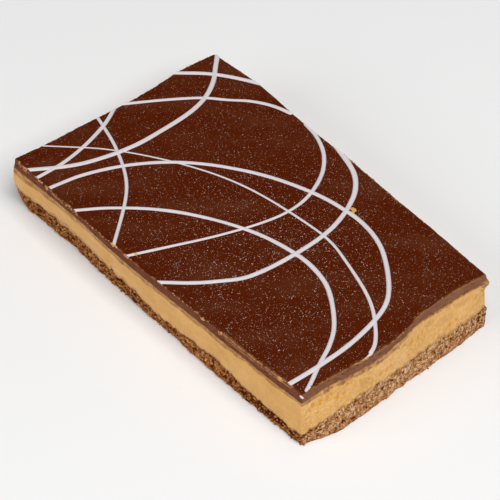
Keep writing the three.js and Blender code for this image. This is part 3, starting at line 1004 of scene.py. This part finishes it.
def cut_crumbs(points, pitted, long_side):
    """The base's cut crumbs: how far points stand out, how hollow they are, which is painted as shade,
    and their crumb's tone.
    """
    sizes = settings().sizes
    crumb, relief = sizes.crumb / MM, sizes.crumb_relief / MM
    near, following, tone = cells_at(points, crumb, 3.0)
    small_near, small_following, small_tone = cells_at(points, crumb * 0.52, 9.0)
    crease = 1 - smoothstep(0.0, 0.30, following - near)
    small_crease = 1 - smoothstep(0.0, 0.26, small_following - small_near)
    missing = (tone < 0.02 + 0.20 * pitted) * smoothstep(0.02, 0.2, following - near)
    nicked = (small_tone < 0.04 + 0.22 * pitted) * smoothstep(0.02, 0.2, small_following - small_near)
    pit = marks(points, "front", PITS)
    amount = relief * ((0.5 - near) + 0.5 * (0.5 - small_near)) * (0.32 + 0.68 * long_side)
    amount += 0.15 * noise_at(points, (4.0, 4.0, 2.6), 6.0)
    amount -= (0.10 + 0.16 * pitted) * missing + (0.05 + 0.10 * pitted) * nicked
    amount -= (0.03 + 0.06 * pitted) * crease + 0.03 * small_crease + 0.32 * pit
    # Painted shade in the missing and nicked crumbs, the pits and the creases.
    hollow = 0.85 * missing + 0.60 * nicked + 0.95 * pit
    hollow += (0.03 + 0.50 * pitted) * crease + (0.02 + 0.34 * pitted) * small_crease
    return amount, np.clip(hollow, 0, 1), 0.5 * tone + 0.5 * small_tone


def build_base():
    """The biscuit base, with crumbs, creases and pits in its cut faces."""
    faces = wall(BISCUIT, np.zeros(SLAB.count), base_seam(), BASE_ROWS)
    points = faces.reshape(-1, 3)
    long_side = np.tile(column_side(), BASE_ROWS)
    pitted = np.tile(along_sides(PITTING, 0.45), BASE_ROWS)
    corner = np.tile(corner_share(CORNER_COLUMNS), BASE_ROWS)
    share = np.repeat(np.linspace(0, 1, BASE_ROWS), SLAB.count)
    under = np.tile(base_seam(), BASE_ROWS) - points[:, 2]
    amount, hollow, tone = cut_crumbs(points, pitted, long_side)
    amount *= 0.25 + 0.75 * smoothstep(0.0, 0.9, under)
    amount -= 0.22 * smoothstep(0.10, 0.0, share)
    amount += corner * CORNER_FILL * smoothstep(3.5, 0.5, under)
    rind = smoothstep(1.9, 0.4, under + 0.9 * noise_at(points, 1.6, 57.0)) * long_side
    dry = (1 - long_side) * (0.55 + 0.45 * smoothstep(0.5, 3.5, points[:, 2]))
    fields = by_rows(BASE_ROWS, hollow=hollow, tone=tone, dry=dry, pitted=pitted, rind=0.85 * rind)
    skin = Skin(*fields)
    bottom, top = skin.raise_wall(push(faces, amount.reshape(BASE_ROWS, -1)), **fields)
    skin.close(bottom, 0.0, flip=True, tone=0.4)
    skin.close(top, float(np.mean(SLAB.base_seam)), tone=0.4)
    set_on_slice(skin.to_object("crumb_base", biscuit_material()), "biscuit", BISCUIT)


def tear_field(points, side):
    """Small upright tears in the short faces, 0 to 1: the clear ones, and many faint ones."""
    near, _, pick = cells_at(points, (0.95, 0.95, 1.7), 4.0)
    patchy = smoothstep(-0.35, 0.10, noise_at(points, 7.0, 12.0))
    faint = (pick > 0.50) * patchy * smoothstep(0.40, 0.12, near) * (0.25 + 0.65 * (pick - 0.50))
    clear = [(y, z, TEAR_SPREAD * half, TEAR_SPREAD * tall) for y, z, half, tall in TEARS]
    return np.maximum(faint * (1 - side), 0.95 * marks(points, "right", clear))


def smear_field(points, below, side):
    """Chocolate that the knife has dragged down over the caramel, 0 to 1, with a darker border, and a
    painted shade line just under the chocolate.
    """
    along = grounded(points[:, :2])
    deep = np.tile(along_sides(SMEAR_DEPTHS, 1.0), len(points) // SLAB.count)
    share = below / (deep * (1 + 0.35 * noise_at(along, 3.0, 7.0)))
    streak = noise_at(points, (4.5, 4.5, 0.35), 17.0)
    fleck = noise_at(points, (1.3, 1.3, 0.6), 19.0)
    patch = noise_at(points, 1.0, 23.0) + 0.4 * noise_at(points, 0.5, 25.0)
    zone = smoothstep(1.10, 0.85, share + 0.14 * fleck)
    broken = np.clip(0.70 + 0.9 * noise_at(along, 2.2, 27.0), 0, 1)
    border = np.exp(-(((share - 0.86) / 0.20) ** 2)) * broken
    dragged = zone * np.clip(0.48 + 0.08 * streak + 0.36 * fleck + 0.30 * patch, 0.12, 0.95)
    rubbed = zone * np.clip(0.50 + 0.12 * streak + 0.70 * patch, 0.08, 0.90)
    dragged += 0.12 * border
    # Painted shade: a thin dark line just under the chocolate, along every side.
    under = smoothstep(0.30, 0.06, below) * 0.35
    return np.clip(dragged * side + rubbed * (1 - side) + under, 0, 1)


def dust_field(points, low):
    """Crumbs dragged up over the caramel from the seam at its foot, 0 to 1."""
    deep = np.tile(along_sides(DUST_DEPTHS, 1.0), len(points) // SLAB.count)
    share = (points[:, 2] - low) / deep
    zone = smoothstep(1.10, 0.30, share + 0.45 * noise_at(points, 0.9, 33.0))
    return np.clip(zone * (0.55 + 0.6 * noise_at(points, (0.8, 0.8, 0.5), 35.0)), 0, 1)


def build_caramel():
    """The caramel, dragged smooth on the long sides and torn on the short ones."""
    sizes = settings().sizes
    low, high = base_seam() - LAP, glaze_seam()
    faces = wall(CARAMEL, low, high, CARAMEL_ROWS)
    points = faces.reshape(-1, 3)
    side = np.tile(column_side(), CARAMEL_ROWS)
    lines = noise_at(points, (9.0, 9.0, 0.45), 3.0) + 0.5 * noise_at(points, (5.0, 5.0, 0.25), 5.0)
    rough = noise_at(points, (1.0, 1.0, 1.2), 8.0) + 0.7 * noise_at(points, 0.5, 2.0)
    swell = noise_at(points, (7.0, 7.0, 4.0), 14.0)
    tear, stain = tear_field(points, side), marks(points, "right", STAINS)
    smear = smear_field(points, np.tile(high, CARAMEL_ROWS) - points[:, 2], side)
    smear = np.clip(smear + 0.75 * stain + 0.16 * marks(points, "right", SHADES), 0, 1)
    dust = dust_field(points, np.tile(low, CARAMEL_ROWS))
    amount = sizes.streak_depth / MM * lines * (0.35 + 0.65 * side)
    amount += 0.13 * rough * (1 - 0.88 * side) + 0.12 * swell
    amount -= sizes.tear_depth / MM * np.maximum(tear, 0.6 * stain)
    share = np.linspace(0, 1, CARAMEL_ROWS)
    amount = amount.reshape(CARAMEL_ROWS, -1) + flange(smoothstep(0.78, 1.0, share))
    hollow = CORNER_HOLLOW * corner_share(HOLLOW_COLUMNS, BACK_RIGHT)[None]
    amount -= hollow * smoothstep(0.85, 0.65, share)[:, None]
    fields = by_rows(CARAMEL_ROWS, tear=tear, smear=smear, dust=dust, short=1 - side)
    skin = Skin(*fields)
    bottom, top = skin.raise_wall(push(faces, amount), **fields)
    skin.close(bottom, float(np.mean(SLAB.base_seam)), flip=True)
    skin.close(top, float(np.mean(SLAB.glaze_seam)))
    set_on_slice(skin.to_object("caramel_filling", caramel_material()), "caramel", CARAMEL)


def upper_edge(inset):
    """The outline of the chocolate's upper edge, brought in by some distance."""
    ring = SLAB.face(CHOCOLATE, np.full(SLAB.count, SLAB.top - RIM_DEPTH))
    return ring - SLAB.normal * inset


def rim_smear():
    """How deep dragged caramel goes down the upper edge and how solid it is, column by column."""
    deep, solid = np.zeros(SLAB.count), np.zeros(SLAB.count)
    for side, start, end, depth, strength in RIM_SMEARS:
        numbers, places = SLAB.columns(side, start, end)
        fade = smoothstep(0.0, 1.5, np.minimum(places - start, end - places))
        deep[numbers] = np.maximum(deep[numbers], depth * fade)
        solid[numbers] = strength
    return deep, smoothed(solid, 2)


def rim_tan(points, deep, solid):
    """Dragged caramel on the cut face under the upper edge, 0 to 1. A solid smear is two lines."""
    double = smoothstep(0.5, 0.9, solid)
    below = (SLAB.top - points[:, 2]) / np.maximum(deep, 0.01)
    below += (0.25 - 0.13 * double) * noise_at(points, (1.5, 1.5, 0.5), 45.0)
    flaked = noise_at(points, (0.7, 0.7, 0.45), 41.0) + 0.4 * noise_at(points, (3.0, 3.0, 0.4), 42.0)
    flaked = smoothstep(0.28 - 0.8 * solid, 0.50 - 0.7 * solid, flaked)
    lines = 0.6 * smoothstep(0.26, 0.12, below) + np.exp(-(((below - 0.80) / 0.14) ** 2))
    single = smoothstep(1.05, 0.85, below) * np.clip(0.35 + 0.65 * solid, 0, 1)
    return flaked * (single * (1 - double) + np.clip(lines, 0, 1) * double)


def cut_chocolate(points, deep, solid):
    """The chocolate's cut face: how far points stand out, how tan they are and how dark."""
    side = np.tile(column_side(), CHOCOLATE_ROWS)
    share = np.repeat(np.linspace(0, 1, CHOCOLATE_ROWS), SLAB.count)
    deep_here, solid_here = np.tile(deep, CHOCOLATE_ROWS), np.tile(solid, CHOCOLATE_ROWS)
    lines = noise_at(points, (6.0, 6.0, 0.5), 21.0)
    lumps = noise_at(points, 1.3, 23.0) + 0.6 * noise_at(points, 0.6, 24.0)
    tan = rim_tan(points, deep_here, solid_here)
    gap = smoothstep(0.10, 0.45, -noise_at(points, (0.8, 0.8, 0.6), 47.0)) * (1 - tan)
    near_rim = smoothstep(1.9, 0.3, SLAB.top - points[:, 2]) * smoothstep(0.0, 0.6, deep_here)
    spots = 0.5 * smoothstep(0.30, 0.55, noise_at(points, 0.9, 49.0))
    drawn = np.tile(corner_share(FLANGE_COLUMNS, BACK_RIGHT), CHOCOLATE_ROWS)
    tan = np.maximum(tan, 0.85 * (drawn * smoothstep(0.55, 0.15, share)))
    amount = 0.05 * lines + (0.04 + 0.10 * (1 - side)) * lumps + 0.06 * tan
    return amount, tan, np.maximum(0.9 * gap * near_rim, spots)


def lip_tan_and_highlight_at(points, deep, solid):
    """How tan the chocolate's lip is at each column: flaky caramel, and a painted highlight line along
    the lip of the sides that face right.
    """
    flaked = noise_at(points, (0.9, 0.9, 9.0), 43.0) + 0.4 * noise_at(points, (3.0, 3.0, 9.0), 44.0)
    tan = np.clip(deep / 0.3, 0, 1) * smoothstep(0.30 - 0.8 * solid, 0.55 - 0.7 * solid, flaked)
    # A painted highlight: a pale line on the lip where it faces right, towards the key light.
    faces_right = np.clip(SLAB.normal[:, 0], 0, 1)
    pale = 0.30 * faces_right * smoothstep(-0.4, 0.2, noise_at(points, 2.5, 59.0))
    return np.maximum(tan * np.clip(0.30 + 0.50 * solid, 0, 1), pale)


def round_lip(skin, ring, crisp, lip, lip_tan_and_highlight):
    """Rounds the cut face over into the top. Returns the last ring and its points."""
    short = 1 - column_side()
    faces_left = np.clip(-SLAB.normal[:, 0], 0, 1)
    chips = (0.28 + 0.25 * short) * np.clip(noise_at(crisp, 0.8, 31.0) - 0.15, 0, 1)
    for angle in np.linspace(0, math.pi / 2, LIP_STEPS + 1)[1:]:
        inward = lip * (1 - math.cos(angle)) + chips * math.sin(angle)
        spot = crisp[:, :2] - SLAB.normal * inward[:, None]
        z = SLAB.top - lip + (pour_height(spot) - SLAB.top + lip) * math.sin(angle)
        z -= 0.5 * chips * math.sin(angle)
        fade = 1.0 if angle < 0.5 else 0.7 * math.cos(angle)
        # Painted shade: the lip of the sides that face left is darkened, away from the key light.
        following = skin.add(np.column_stack([spot, z]), cut=fade, short=short,
                             tan=lip_tan_and_highlight * (1 - 0.25 * angle), dark=0.85 * faces_left,
                             veil=painted_sheen_at(spot))
        skin.band(ring, following)
        ring = following
    return ring, spot


def pour_top(skin, ring, rim, lip_tan_and_highlight):
    """Fills the poured top inside the lip's last ring, with fewer columns."""
    gap = 0.22
    core = SLAB.core[::TOP_STEP]
    start = rim[::TOP_STEP] - SLAB.normal[::TOP_STEP] * gap
    inner = []
    for share in np.linspace(0, 1, TOP_RINGS):
        place = start + (core - start) * share
        inner.append(skin.add(np.column_stack([place, pour_height(place)]), veil=painted_sheen_at(place),
                              tan=0.35 * lip_tan_and_highlight[::TOP_STEP] * (share == 0)))
    skin.gather(ring, inner[0])
    for a, b in zip(inner, inner[1:]):
        skin.band(a, b)
    skin.fill(inner[-1], pour_height, veil=painted_sheen_at)


def build_chocolate():
    """The chocolate: a matte cut face, a softened lip and a gently wavy glossy top."""
    lip = settings().sizes.lip / MM
    faces = wall(CHOCOLATE, glaze_seam() - LAP, np.full(SLAB.count, SLAB.top - lip), CHOCOLATE_ROWS)
    deep, solid = rim_smear()
    amount, tan, dark = cut_chocolate(faces.reshape(-1, 3), deep, solid)
    share = np.linspace(0, 1, CHOCOLATE_ROWS)
    amount = amount.reshape(CHOCOLATE_ROWS, -1) + flange(1 - smoothstep(0.0, 0.75, share))
    faces = push(faces, amount)
    short = np.tile(1 - column_side(), CHOCOLATE_ROWS)
    fields = by_rows(CHOCOLATE_ROWS, cut=np.ones(len(short)), short=short, tan=tan, dark=dark)
    skin = Skin(*fields, "veil")
    bottom, ring = skin.raise_wall(faces, **fields)
    lip_tan_and_highlight = lip_tan_and_highlight_at(faces[-1], deep, solid)
    ring, rim = round_lip(skin, ring, faces[-1], lip, lip_tan_and_highlight)
    pour_top(skin, ring, rim, lip_tan_and_highlight)
    skin.close(bottom, float(np.mean(SLAB.glaze_seam)), flip=True, cut=1.0)
    set_on_slice(skin.to_object("chocolate_slab", chocolate_material()), "chocolate", CHOCOLATE)


# ---------------------------------------------------------------- the drizzle

def smooth_path(points, spacing):
    """Evenly spaced points on a smooth line through given ones."""
    p = np.array(points, float)
    p = np.vstack([2 * p[0] - p[1], p, 2 * p[-1] - p[-2]])
    dense = []
    for a, b, c, d in zip(p, p[1:], p[2:], p[3:]):
        before, here, after = (math.sqrt(np.linalg.norm(v)) for v in (b - a, c - b, d - c))
        leave = here * ((b - a) / before - (c - a) / (before + here) + (c - b) / here)
        arrive = here * ((c - b) / here - (d - b) / (here + after) + (d - c) / after)
        t = np.linspace(0, 1, 40, endpoint=False)[:, None]
        dense.append((2 * t**3 - 3 * t**2 + 1) * b + (t**3 - 2 * t**2 + t) * leave
                     + (3 * t**2 - 2 * t**3) * c + (t**3 - t**2) * arrive)
    dense = np.vstack([*dense, p[-2:-1]])
    walked = np.concatenate([[0], np.cumsum(np.linalg.norm(np.diff(dense, axis=0), axis=1))])
    stops = np.linspace(0, walked[-1], round(walked[-1] / spacing) + 1)
    return np.stack([np.interp(stops, walked, dense[:, k]) for k in (0, 1)], axis=1)


def strand_shape(widths, path, seed):
    """A strand's width and height at each point of its path, rounded off at both ends."""
    height = settings().sizes.drizzle_height / MM
    spots = np.column_stack([path, np.full(len(path), seed * 10.0)])
    width = spread_evenly(widths, len(path))
    width *= 1 + 0.05 * noise_at(spots, 4.0) + 0.04 * noise_at(spots, 1.2)
    crown = height * np.clip(width, 0.5, 1.2) * (1 + 0.12 * noise_at(spots, 3.0, 5.0))
    left = np.minimum(np.arange(len(path)), np.arange(len(path))[::-1]) * STRAND_STEP
    tip = np.sqrt(1 - (1 - np.clip(left / (width / 2), 0.02, 1)) ** 2)
    return width * tip, crown * tip


def strand_skin(widths, points, seed):
    """One strand: a low rounded ridge that follows its path over the chocolate."""
    path = smooth_path(points, STRAND_STEP)
    width, crown = strand_shape(widths, path, seed)
    ahead = np.gradient(path, axis=0)
    ahead /= np.linalg.norm(ahead, axis=1)[:, None]
    across = np.stack([ahead[:, 1], -ahead[:, 0]], axis=1)
    foot = [(-0.50, -STRAND_SINK, 0), (0.50, -STRAND_SINK, 0)]
    right = [(side, 0, share) for side, share in STRAND_SECTION]
    left = [(-side, 0, share) for side, share in STRAND_SECTION[-2::-1]]
    section = foot + right + left
    ground = pour_height(path)
    rings = []
    for side, base, share in section:
        spot = path + across * (side * width)[:, None]
        rings.append(np.column_stack([spot, ground + base + share * crown]))
    rings = np.stack(rings, axis=1)
    count = len(section)
    numbers = np.arange(len(path) * count).reshape(len(path), count)
    a, b = numbers[:-1], numbers[1:]
    quads = np.stack([a, np.roll(a, -1, axis=1), np.roll(b, -1, axis=1), b], axis=-1)
    faces = quads.reshape(-1, 4).tolist()
    faces += [numbers[0][::-1].tolist(), numbers[-1].tolist()]
    return rings.reshape(-1, 3), faces


def plain_object(name, points, faces):
    """A bare mesh object in metres, used while a piece is made."""
    mesh = bpy.data.meshes.new(name)
    mesh.from_pydata((np.asarray(points) * MM).tolist(), [], faces)
    mesh.validate()
    made = bpy.data.objects.new(name, mesh)
    bpy.context.scene.collection.objects.link(made)
    tidy = bmesh.new()
    tidy.from_mesh(mesh)
    bmesh.ops.recalc_face_normals(tidy, faces=tidy.faces)
    tidy.to_mesh(mesh)
    tidy.free()
    return made


def prism(name, outline, low, high):
    """A straight-sided block over an outline."""
    count = len(outline)
    points = np.vstack([np.column_stack([outline, np.full(count, z)]) for z in (low, high)])
    faces = [[j, (j + 1) % count, (j + 1) % count + count, j + count] for j in range(count)]
    faces += [list(range(count))[::-1], list(range(count, 2 * count))]
    return plain_object(name, points, faces)


def combine(target, operation, others):
    """Joins or cuts a piece with others, which are used up."""
    for other in others:
        step = target.modifiers.new("combine", "BOOLEAN")
        step.operation, step.object, step.solver = operation, other, "MANIFOLD"
        with bpy.context.temp_override(object=target, active_object=target):
            bpy.ops.object.modifier_apply(modifier=step.name)
        bpy.data.objects.remove(other)


def near_corner_dab():
    """A flat drop of white chocolate."""
    points, faces = lump_pattern(3)
    bend = 1 + 0.15 * noise_at(points, 0.8, DAB_PLACE[0])
    return plain_object("dab", points * bend[:, None] * DAB_HALF + DAB_PLACE, faces.tolist())


def build_drizzle():
    """The white strands, joined where they cross and cut off at the slice's upper edge."""
    drizzle, *others = [plain_object(f"strand_{k}", *strand_skin(*strand, k))
                        for k, strand in enumerate(STRANDS)]
    combine(drizzle, "UNION", others)
    above, below = SLAB.top + 5, SLAB.top - 5
    combine(drizzle, "INTERSECT", [prism("knife", upper_edge(EDGE_CUT)[::4], below, above)])
    combine(drizzle, "UNION", [near_corner_dab()])
    drizzle.name = drizzle.data.name = "white_drizzle"
    drizzle.data.polygons.foreach_set("use_smooth", [True] * len(drizzle.data.polygons))
    drizzle.data.set_sharp_from_angle(angle=math.radians(50))
    drizzle.data.materials.clear()
    drizzle.data.materials.append(drizzle_material())
    set_on_slice(drizzle, "white_drizzle")


# ---------------------------------------------------------------- crumbs, flakes and specks

def lump_pattern(splits):
    """A unit ball's points and triangles, to be bent into crumbs."""
    ball = bmesh.new()
    bmesh.ops.create_icosphere(ball, subdivisions=splits, radius=1.0)
    points = np.array([v.co for v in ball.verts])
    faces = np.array([[v.index for v in f.verts] for f in ball.faces])
    ball.free()
    return points, faces


def crystal_pattern():
    """An eight-sided crystal's points and triangles."""
    points = np.vstack([np.eye(3), -np.eye(3)])
    faces = [(x, y, z) if (x < 3) ^ (y < 3) ^ (z < 3) else (y, x, z)
             for x in (0, 3) for y in (1, 4) for z in (2, 5)]
    return points, np.array(faces)


def scatter(name, material, lumps, splits=2, roughness=0.28, seed=0, **values):
    """Many small lumps joined into one piece. Each is (place, half sizes, axes, tone)."""
    points, faces = lump_pattern(splits) if splits else crystal_pattern()
    random = np.random.default_rng(seed)
    skin = Skin("tone", *values)
    for k, (place, half, axes, tone) in enumerate(lumps):
        bend = noise_at(points, 0.75, random.uniform(0, 90)) * roughness
        body = points * (1 + bend)[:, None] * half
        start = skin.size
        skin.add(np.asarray(place) + body @ axes, tone=tone, **{key: v[k] for key, v in values.items()})
        skin.faces += (faces + start).tolist()
    return skin.to_object(name, material)


def random_axes(random):
    """A random turn, as three rows."""
    axes, _ = np.linalg.qr(random.normal(size=(3, 3)))
    return axes


def build_crumbs():
    """Crumbs that stand out of the cut base and cling along its two seams."""
    random = np.random.default_rng(41)
    seam, side = base_seam(), column_side()
    lumps, dry = [], []
    for _ in range(settings().sizes.crumbs):
        j = int(random.integers(SLAB.count))
        z = 0.25 + (seam[j] - 0.3) * random.beta(1.0, 1.1)
        size = 0.11 + (0.16 + 0.14 * side[j]) * random.random() ** 2.2
        ring = SLAB.at(BISCUIT, j, z)
        place = (*(ring + SLAB.normal[j] * random.uniform(-0.3, 0.2) * size), max(z, size * 0.9))
        half = size * random.uniform((0.8, 0.7, 0.6), (1.25, 1.0, 0.95))
        lumps.append((place, half, random_axes(random), random.random()))
        dry.append(1 - side[j])
    for name, along, inset, size in EDGE_CRUMBS:
        numbers, places = SLAB.columns(name)
        j = int(numbers[np.argmin(np.abs(places - along))])
        spot = SLAB.rim_at(j) - SLAB.normal[j] * inset
        half = size * random.uniform((0.8, 0.7, 0.6), (1.2, 1.0, 0.9))
        lumps.append(((*spot, SLAB.top - 0.1), half, random_axes(random), 0.05))
        dry.append(0.0)
    piece = scatter("loose_crumbs", biscuit_material(), lumps, seed=5, dry=dry)
    set_on_slice(piece, "biscuit")


def edge_flake(j, inset, height, half, random):
    """One flake at column j of the chocolate's upper edge, drawn out along the edge."""
    normal = np.array([*SLAB.normal[j], 0.0])
    along = np.array([-normal[1], normal[0], 0.0])
    axes = np.array([along, normal, (0, 0, 1)])
    sizes = half * random.uniform((1.2, 0.7, 0.5), (2.6, 1.1, 0.9))
    place = (*(SLAB.rim_at(j) - SLAB.normal[j] * inset), SLAB.top + height)
    return place, sizes, axes, random.random()


def build_flakes():
    """Tan flakes that the knife drew up along the upper edge."""
    random = np.random.default_rng(17)
    lumps = []
    for side, start, end, count, half, hang in EDGE_FLAKES:
        numbers, _ = SLAB.columns(side, start, end)
        for j in random.choice(numbers, count):
            height = 0.05 - (0.15 + hang) * random.random()
            inset = random.uniform(0.0, 0.25) if height > -0.2 else 0.0
            lumps.append(edge_flake(j, inset, height, half * random.uniform(0.6, 1.15), random))
    set_on_slice(scatter("edge_flakes", flake_material(), lumps, seed=6), "caramel")


def build_caramel_bits():
    """Bits of caramel that the knife pulled out and dropped."""
    lumps = [(place, half, np.eye(3), 0.3) for *place, half in CARAMEL_BITS]
    piece = scatter("caramel_bits", caramel_material(), lumps, splits=3, roughness=0.35, seed=7)
    set_on_slice(piece, "caramel")


def strand_distance(flat):
    """How far each point lies from the nearest strand's edge."""
    best = np.full(len(flat), np.inf)
    for widths, points in STRANDS:
        path = smooth_path(points, 0.9)
        gaps = np.linalg.norm(flat[:, None] - path[None], axis=2) - spread_evenly(widths, len(path)) / 2
        best = np.minimum(best, gaps.min(axis=1))
    return best


def speck_places(wanted, random):
    """Level places on the chocolate, in loose clouds and clear of the strands and the edge."""
    low, high = SLAB.low[:2] + SPECK_MARGIN, SLAB.high[:2] - SPECK_MARGIN
    flat = random.uniform(low, high, size=(wanted * 3, 2))
    cloud = grounded(flat)
    density = 0.75 + 0.35 * noise_at(cloud, 16.0, 2.0) + 0.20 * noise_at(cloud, 3.0, 3.0)
    keep = random.random(len(flat)) < np.clip(density, 0.1, 1)
    keep &= strand_distance(flat) > 0.1
    rim = np.array([SLAB.rim_at(j) for j in range(0, SLAB.count, 4)])
    keep &= inside_outline(flat, rim, SPECK_EDGE)
    return flat[keep][:wanted]


def build_specks():
    """Fine sugar specks lying on the chocolate."""
    random = np.random.default_rng(53)
    sizes = settings().sizes
    flat = speck_places(sizes.specks, random)
    largest = sizes.speck / MM / 2
    centre = np.exp(-(((flat - SPECK_CENTRE) / SPECK_REACH) ** 2).sum(axis=1))
    lumps = []
    for (x, y), z, share in zip(flat, pour_height(flat), centre):
        half = largest * (0.53 + 0.35 * share) * (0.36 + 0.64 * random.random() ** 5)
        halves = half * random.uniform((0.8, 0.7, 0.5), (1.15, 1.0, 0.8))
        tone = random.random() * (0.75 + 0.25 * share)
        lumps.append(((x, y, z + 0.25 * half), halves, random_axes(random), tone))
    piece = scatter("sugar_specks", speck_material(), lumps, splits=0, roughness=0.2, seed=8)
    set_on_slice(piece, "white_drizzle")


def inside_outline(flat, outline, margin):
    """Which points lie inside a closed outline, by more than a margin."""
    a, b = outline, np.roll(outline, -1, axis=0)
    x, y = flat[:, :1], flat[:, 1:]
    crosses = (a[:, 1] > y) != (b[:, 1] > y)
    rise = np.where(b[:, 1] == a[:, 1], 1e-9, b[:, 1] - a[:, 1])
    reach = a[:, 0] + (y - a[:, 1]) / rise * (b[:, 0] - a[:, 0])
    inside = (crosses & (x < reach)).sum(axis=1) % 2 == 1
    clear = np.linalg.norm(flat[:, None] - a[None], axis=2).min(axis=1) > margin
    return inside & clear


# ---------------------------------------------------------------- the stage

def softbox(name, power, place, size):
    """A square studio light that faces the slice, at a turn, a rise and a distance."""
    light = bpy.data.lights.new(name, "AREA")
    light.shape = "RECTANGLE"
    light.size, light.size_y = size
    light.energy = power
    lamp = bpy.data.objects.new(name, light)
    lamp.location = from_angles(*place)
    lamp.rotation_euler = (-lamp.location).to_track_quat("-Z", "Y").to_euler()
    bpy.context.scene.collection.objects.link(lamp)


def from_angles(turn, rise, distance):
    """A point at a compass turn and rise, both in degrees. Turn 0 is in front, 90 at the right."""
    a, e = math.radians(turn), math.radians(rise)
    return Vector((math.sin(a) * math.cos(e), -math.cos(a) * math.cos(e), math.sin(e))) * distance


def build_floor(colour_of_floor):
    """The pale floor, just under the slice."""
    mesh = bpy.data.meshes.new("studio_floor")
    corners = [(x * FLOOR_HALF, y * FLOOR_HALF, -FLOOR_DROP)
               for x, y in ((-1, -1), (1, -1), (1, 1), (-1, 1))]
    mesh.from_pydata(corners, [], [(0, 1, 2, 3)])
    _, shader, paper = new_material("studio_paper")
    shader.inputs["Base Color"].default_value = colour_of_floor
    shader.inputs["Roughness"].default_value = 0.9
    shader.inputs["Specular IOR Level"].default_value = 0.1
    mesh.materials.append(paper)
    floor = bpy.data.objects.new("studio_floor", mesh)
    bpy.context.scene.collection.objects.link(floor)


def build_stage():
    """The pale floor, the soft lights and the camera at the photograph's angle."""
    stage = settings().stage
    colour_of_floor = (*stage.floor, 1)
    build_floor(colour_of_floor)
    softbox("key_softbox", stage.key, KEY_PLACE, KEY_SIZE)
    softbox("fill_softbox", stage.fill, FILL_PLACE, FILL_SIZE)
    world = bpy.data.worlds.new("studio")
    world.use_nodes = True
    world.node_tree.nodes.clear()
    graph = Graph(world.node_tree)
    seen = graph.add("ShaderNodeLightPath").outputs["Is Camera Ray"]
    light = graph.add("ShaderNodeBackground", {"Color": (1, 1, 1, 1), "Strength": stage.surround})
    pale = graph.add("ShaderNodeBackground", {"Color": colour_of_floor, "Strength": 1.0})
    both = graph.add("ShaderNodeMixShader", {0: seen, 1: light.outputs[0], 2: pale.outputs[0]})
    graph.add("ShaderNodeOutputWorld", {"Surface": both.outputs[0]})
    bpy.context.scene.world = world
    add_camera()
    bpy.context.scene.view_settings.view_transform = "Standard"


def add_camera():
    """A long lens that looks at the slice as the photograph does."""
    camera = bpy.data.objects.new("camera", bpy.data.cameras.new("camera"))
    back = from_angles(CAMERA_TURN, CAMERA_RISE, 1.0)
    camera.location = Vector((*CAMERA_AIM, 0.0)) * MM + back * CAMERA_DISTANCE
    camera.rotation_euler = back.to_track_quat("Z", "Y").to_euler()
    camera.data.sensor_width = 36.0
    camera.data.lens = CAMERA_LENS
    camera.data.shift_x, camera.data.shift_y = CAMERA_SHIFT
    camera.data.clip_start = 0.01
    bpy.context.scene.collection.objects.link(camera)
    bpy.context.scene.camera = camera


# ---------------------------------------------------------------- operators

def make(*builders):
    """Runs an operator's builders in order."""
    for build in builders:
        build()
    return {"FINISHED"}


class SLICE_OT_stage(bpy.types.Operator):
    """Add the floor, the lights and the camera"""
    bl_idname = "caramel_slice.stage"
    bl_label = "Stage"

    def execute(self, context):
        return make(build_stage)


class SLICE_OT_base(bpy.types.Operator):
    """Build the crumbly biscuit base"""
    bl_idname = "caramel_slice.base"
    bl_label = "Biscuit base"

    def execute(self, context):
        return make(build_base)


class SLICE_OT_caramel(bpy.types.Operator):
    """Build the caramel and the bits pulled out of it"""
    bl_idname = "caramel_slice.caramel"
    bl_label = "Caramel"

    def execute(self, context):
        return make(build_caramel, build_caramel_bits)


class SLICE_OT_chocolate(bpy.types.Operator):
    """Build the chocolate slab"""
    bl_idname = "caramel_slice.chocolate"
    bl_label = "Chocolate"

    def execute(self, context):
        return make(build_chocolate)


class SLICE_OT_drizzle(bpy.types.Operator):
    """Build the white strands"""
    bl_idname = "caramel_slice.drizzle"
    bl_label = "Drizzle"

    def execute(self, context):
        return make(build_drizzle)


class SLICE_OT_crumbs(bpy.types.Operator):
    """Scatter crumbs on the cut base, and flakes along the upper edge"""
    bl_idname = "caramel_slice.crumbs"
    bl_label = "Crumbs and flakes"

    def execute(self, context):
        return make(build_crumbs, build_flakes)


class SLICE_OT_specks(bpy.types.Operator):
    """Scatter sugar specks on the chocolate"""
    bl_idname = "caramel_slice.specks"
    bl_label = "Sugar specks"

    def execute(self, context):
        return make(build_specks)


OPERATORS = (SLICE_OT_stage, SLICE_OT_base, SLICE_OT_caramel, SLICE_OT_chocolate,
             SLICE_OT_drizzle, SLICE_OT_crumbs, SLICE_OT_specks)


class SLICE_PT_panel(bpy.types.Panel):
    """Sizes, colours and steps of the slice"""
    bl_idname = "SLICE_PT_panel"
    bl_label = "Caramel slice"
    bl_space_type = "VIEW_3D"
    bl_region_type = "UI"
    bl_category = "Caramel slice"

    def draw(self, context):
        chosen = context.scene.caramel_slice
        for group in (chosen.sizes, chosen.colours, chosen.stage):
            box = self.layout.box()
            for key in group.__annotations__:
                box.prop(group, key)
        for operator in OPERATORS:
            self.layout.operator(operator.bl_idname)


CLASSES = (SliceSizes, SliceColours, SliceStage, SliceSettings, *OPERATORS, SLICE_PT_panel)


def register():
    """Registers the classes and the scene's settings."""
    for kind in CLASSES:
        bpy.utils.register_class(kind)
    bpy.types.Scene.caramel_slice = PointerProperty(type=SliceSettings)


def unregister():
    """Takes them away again."""
    del bpy.types.Scene.caramel_slice
    for kind in reversed(CLASSES):
        bpy.utils.unregister_class(kind)


def main():
    """Builds the slice on its stage."""
    register()
    for operator in OPERATORS:
        group, name = operator.bl_idname.split(".")
        getattr(getattr(bpy.ops, group), name)()


if __name__ == "__main__":
    main()
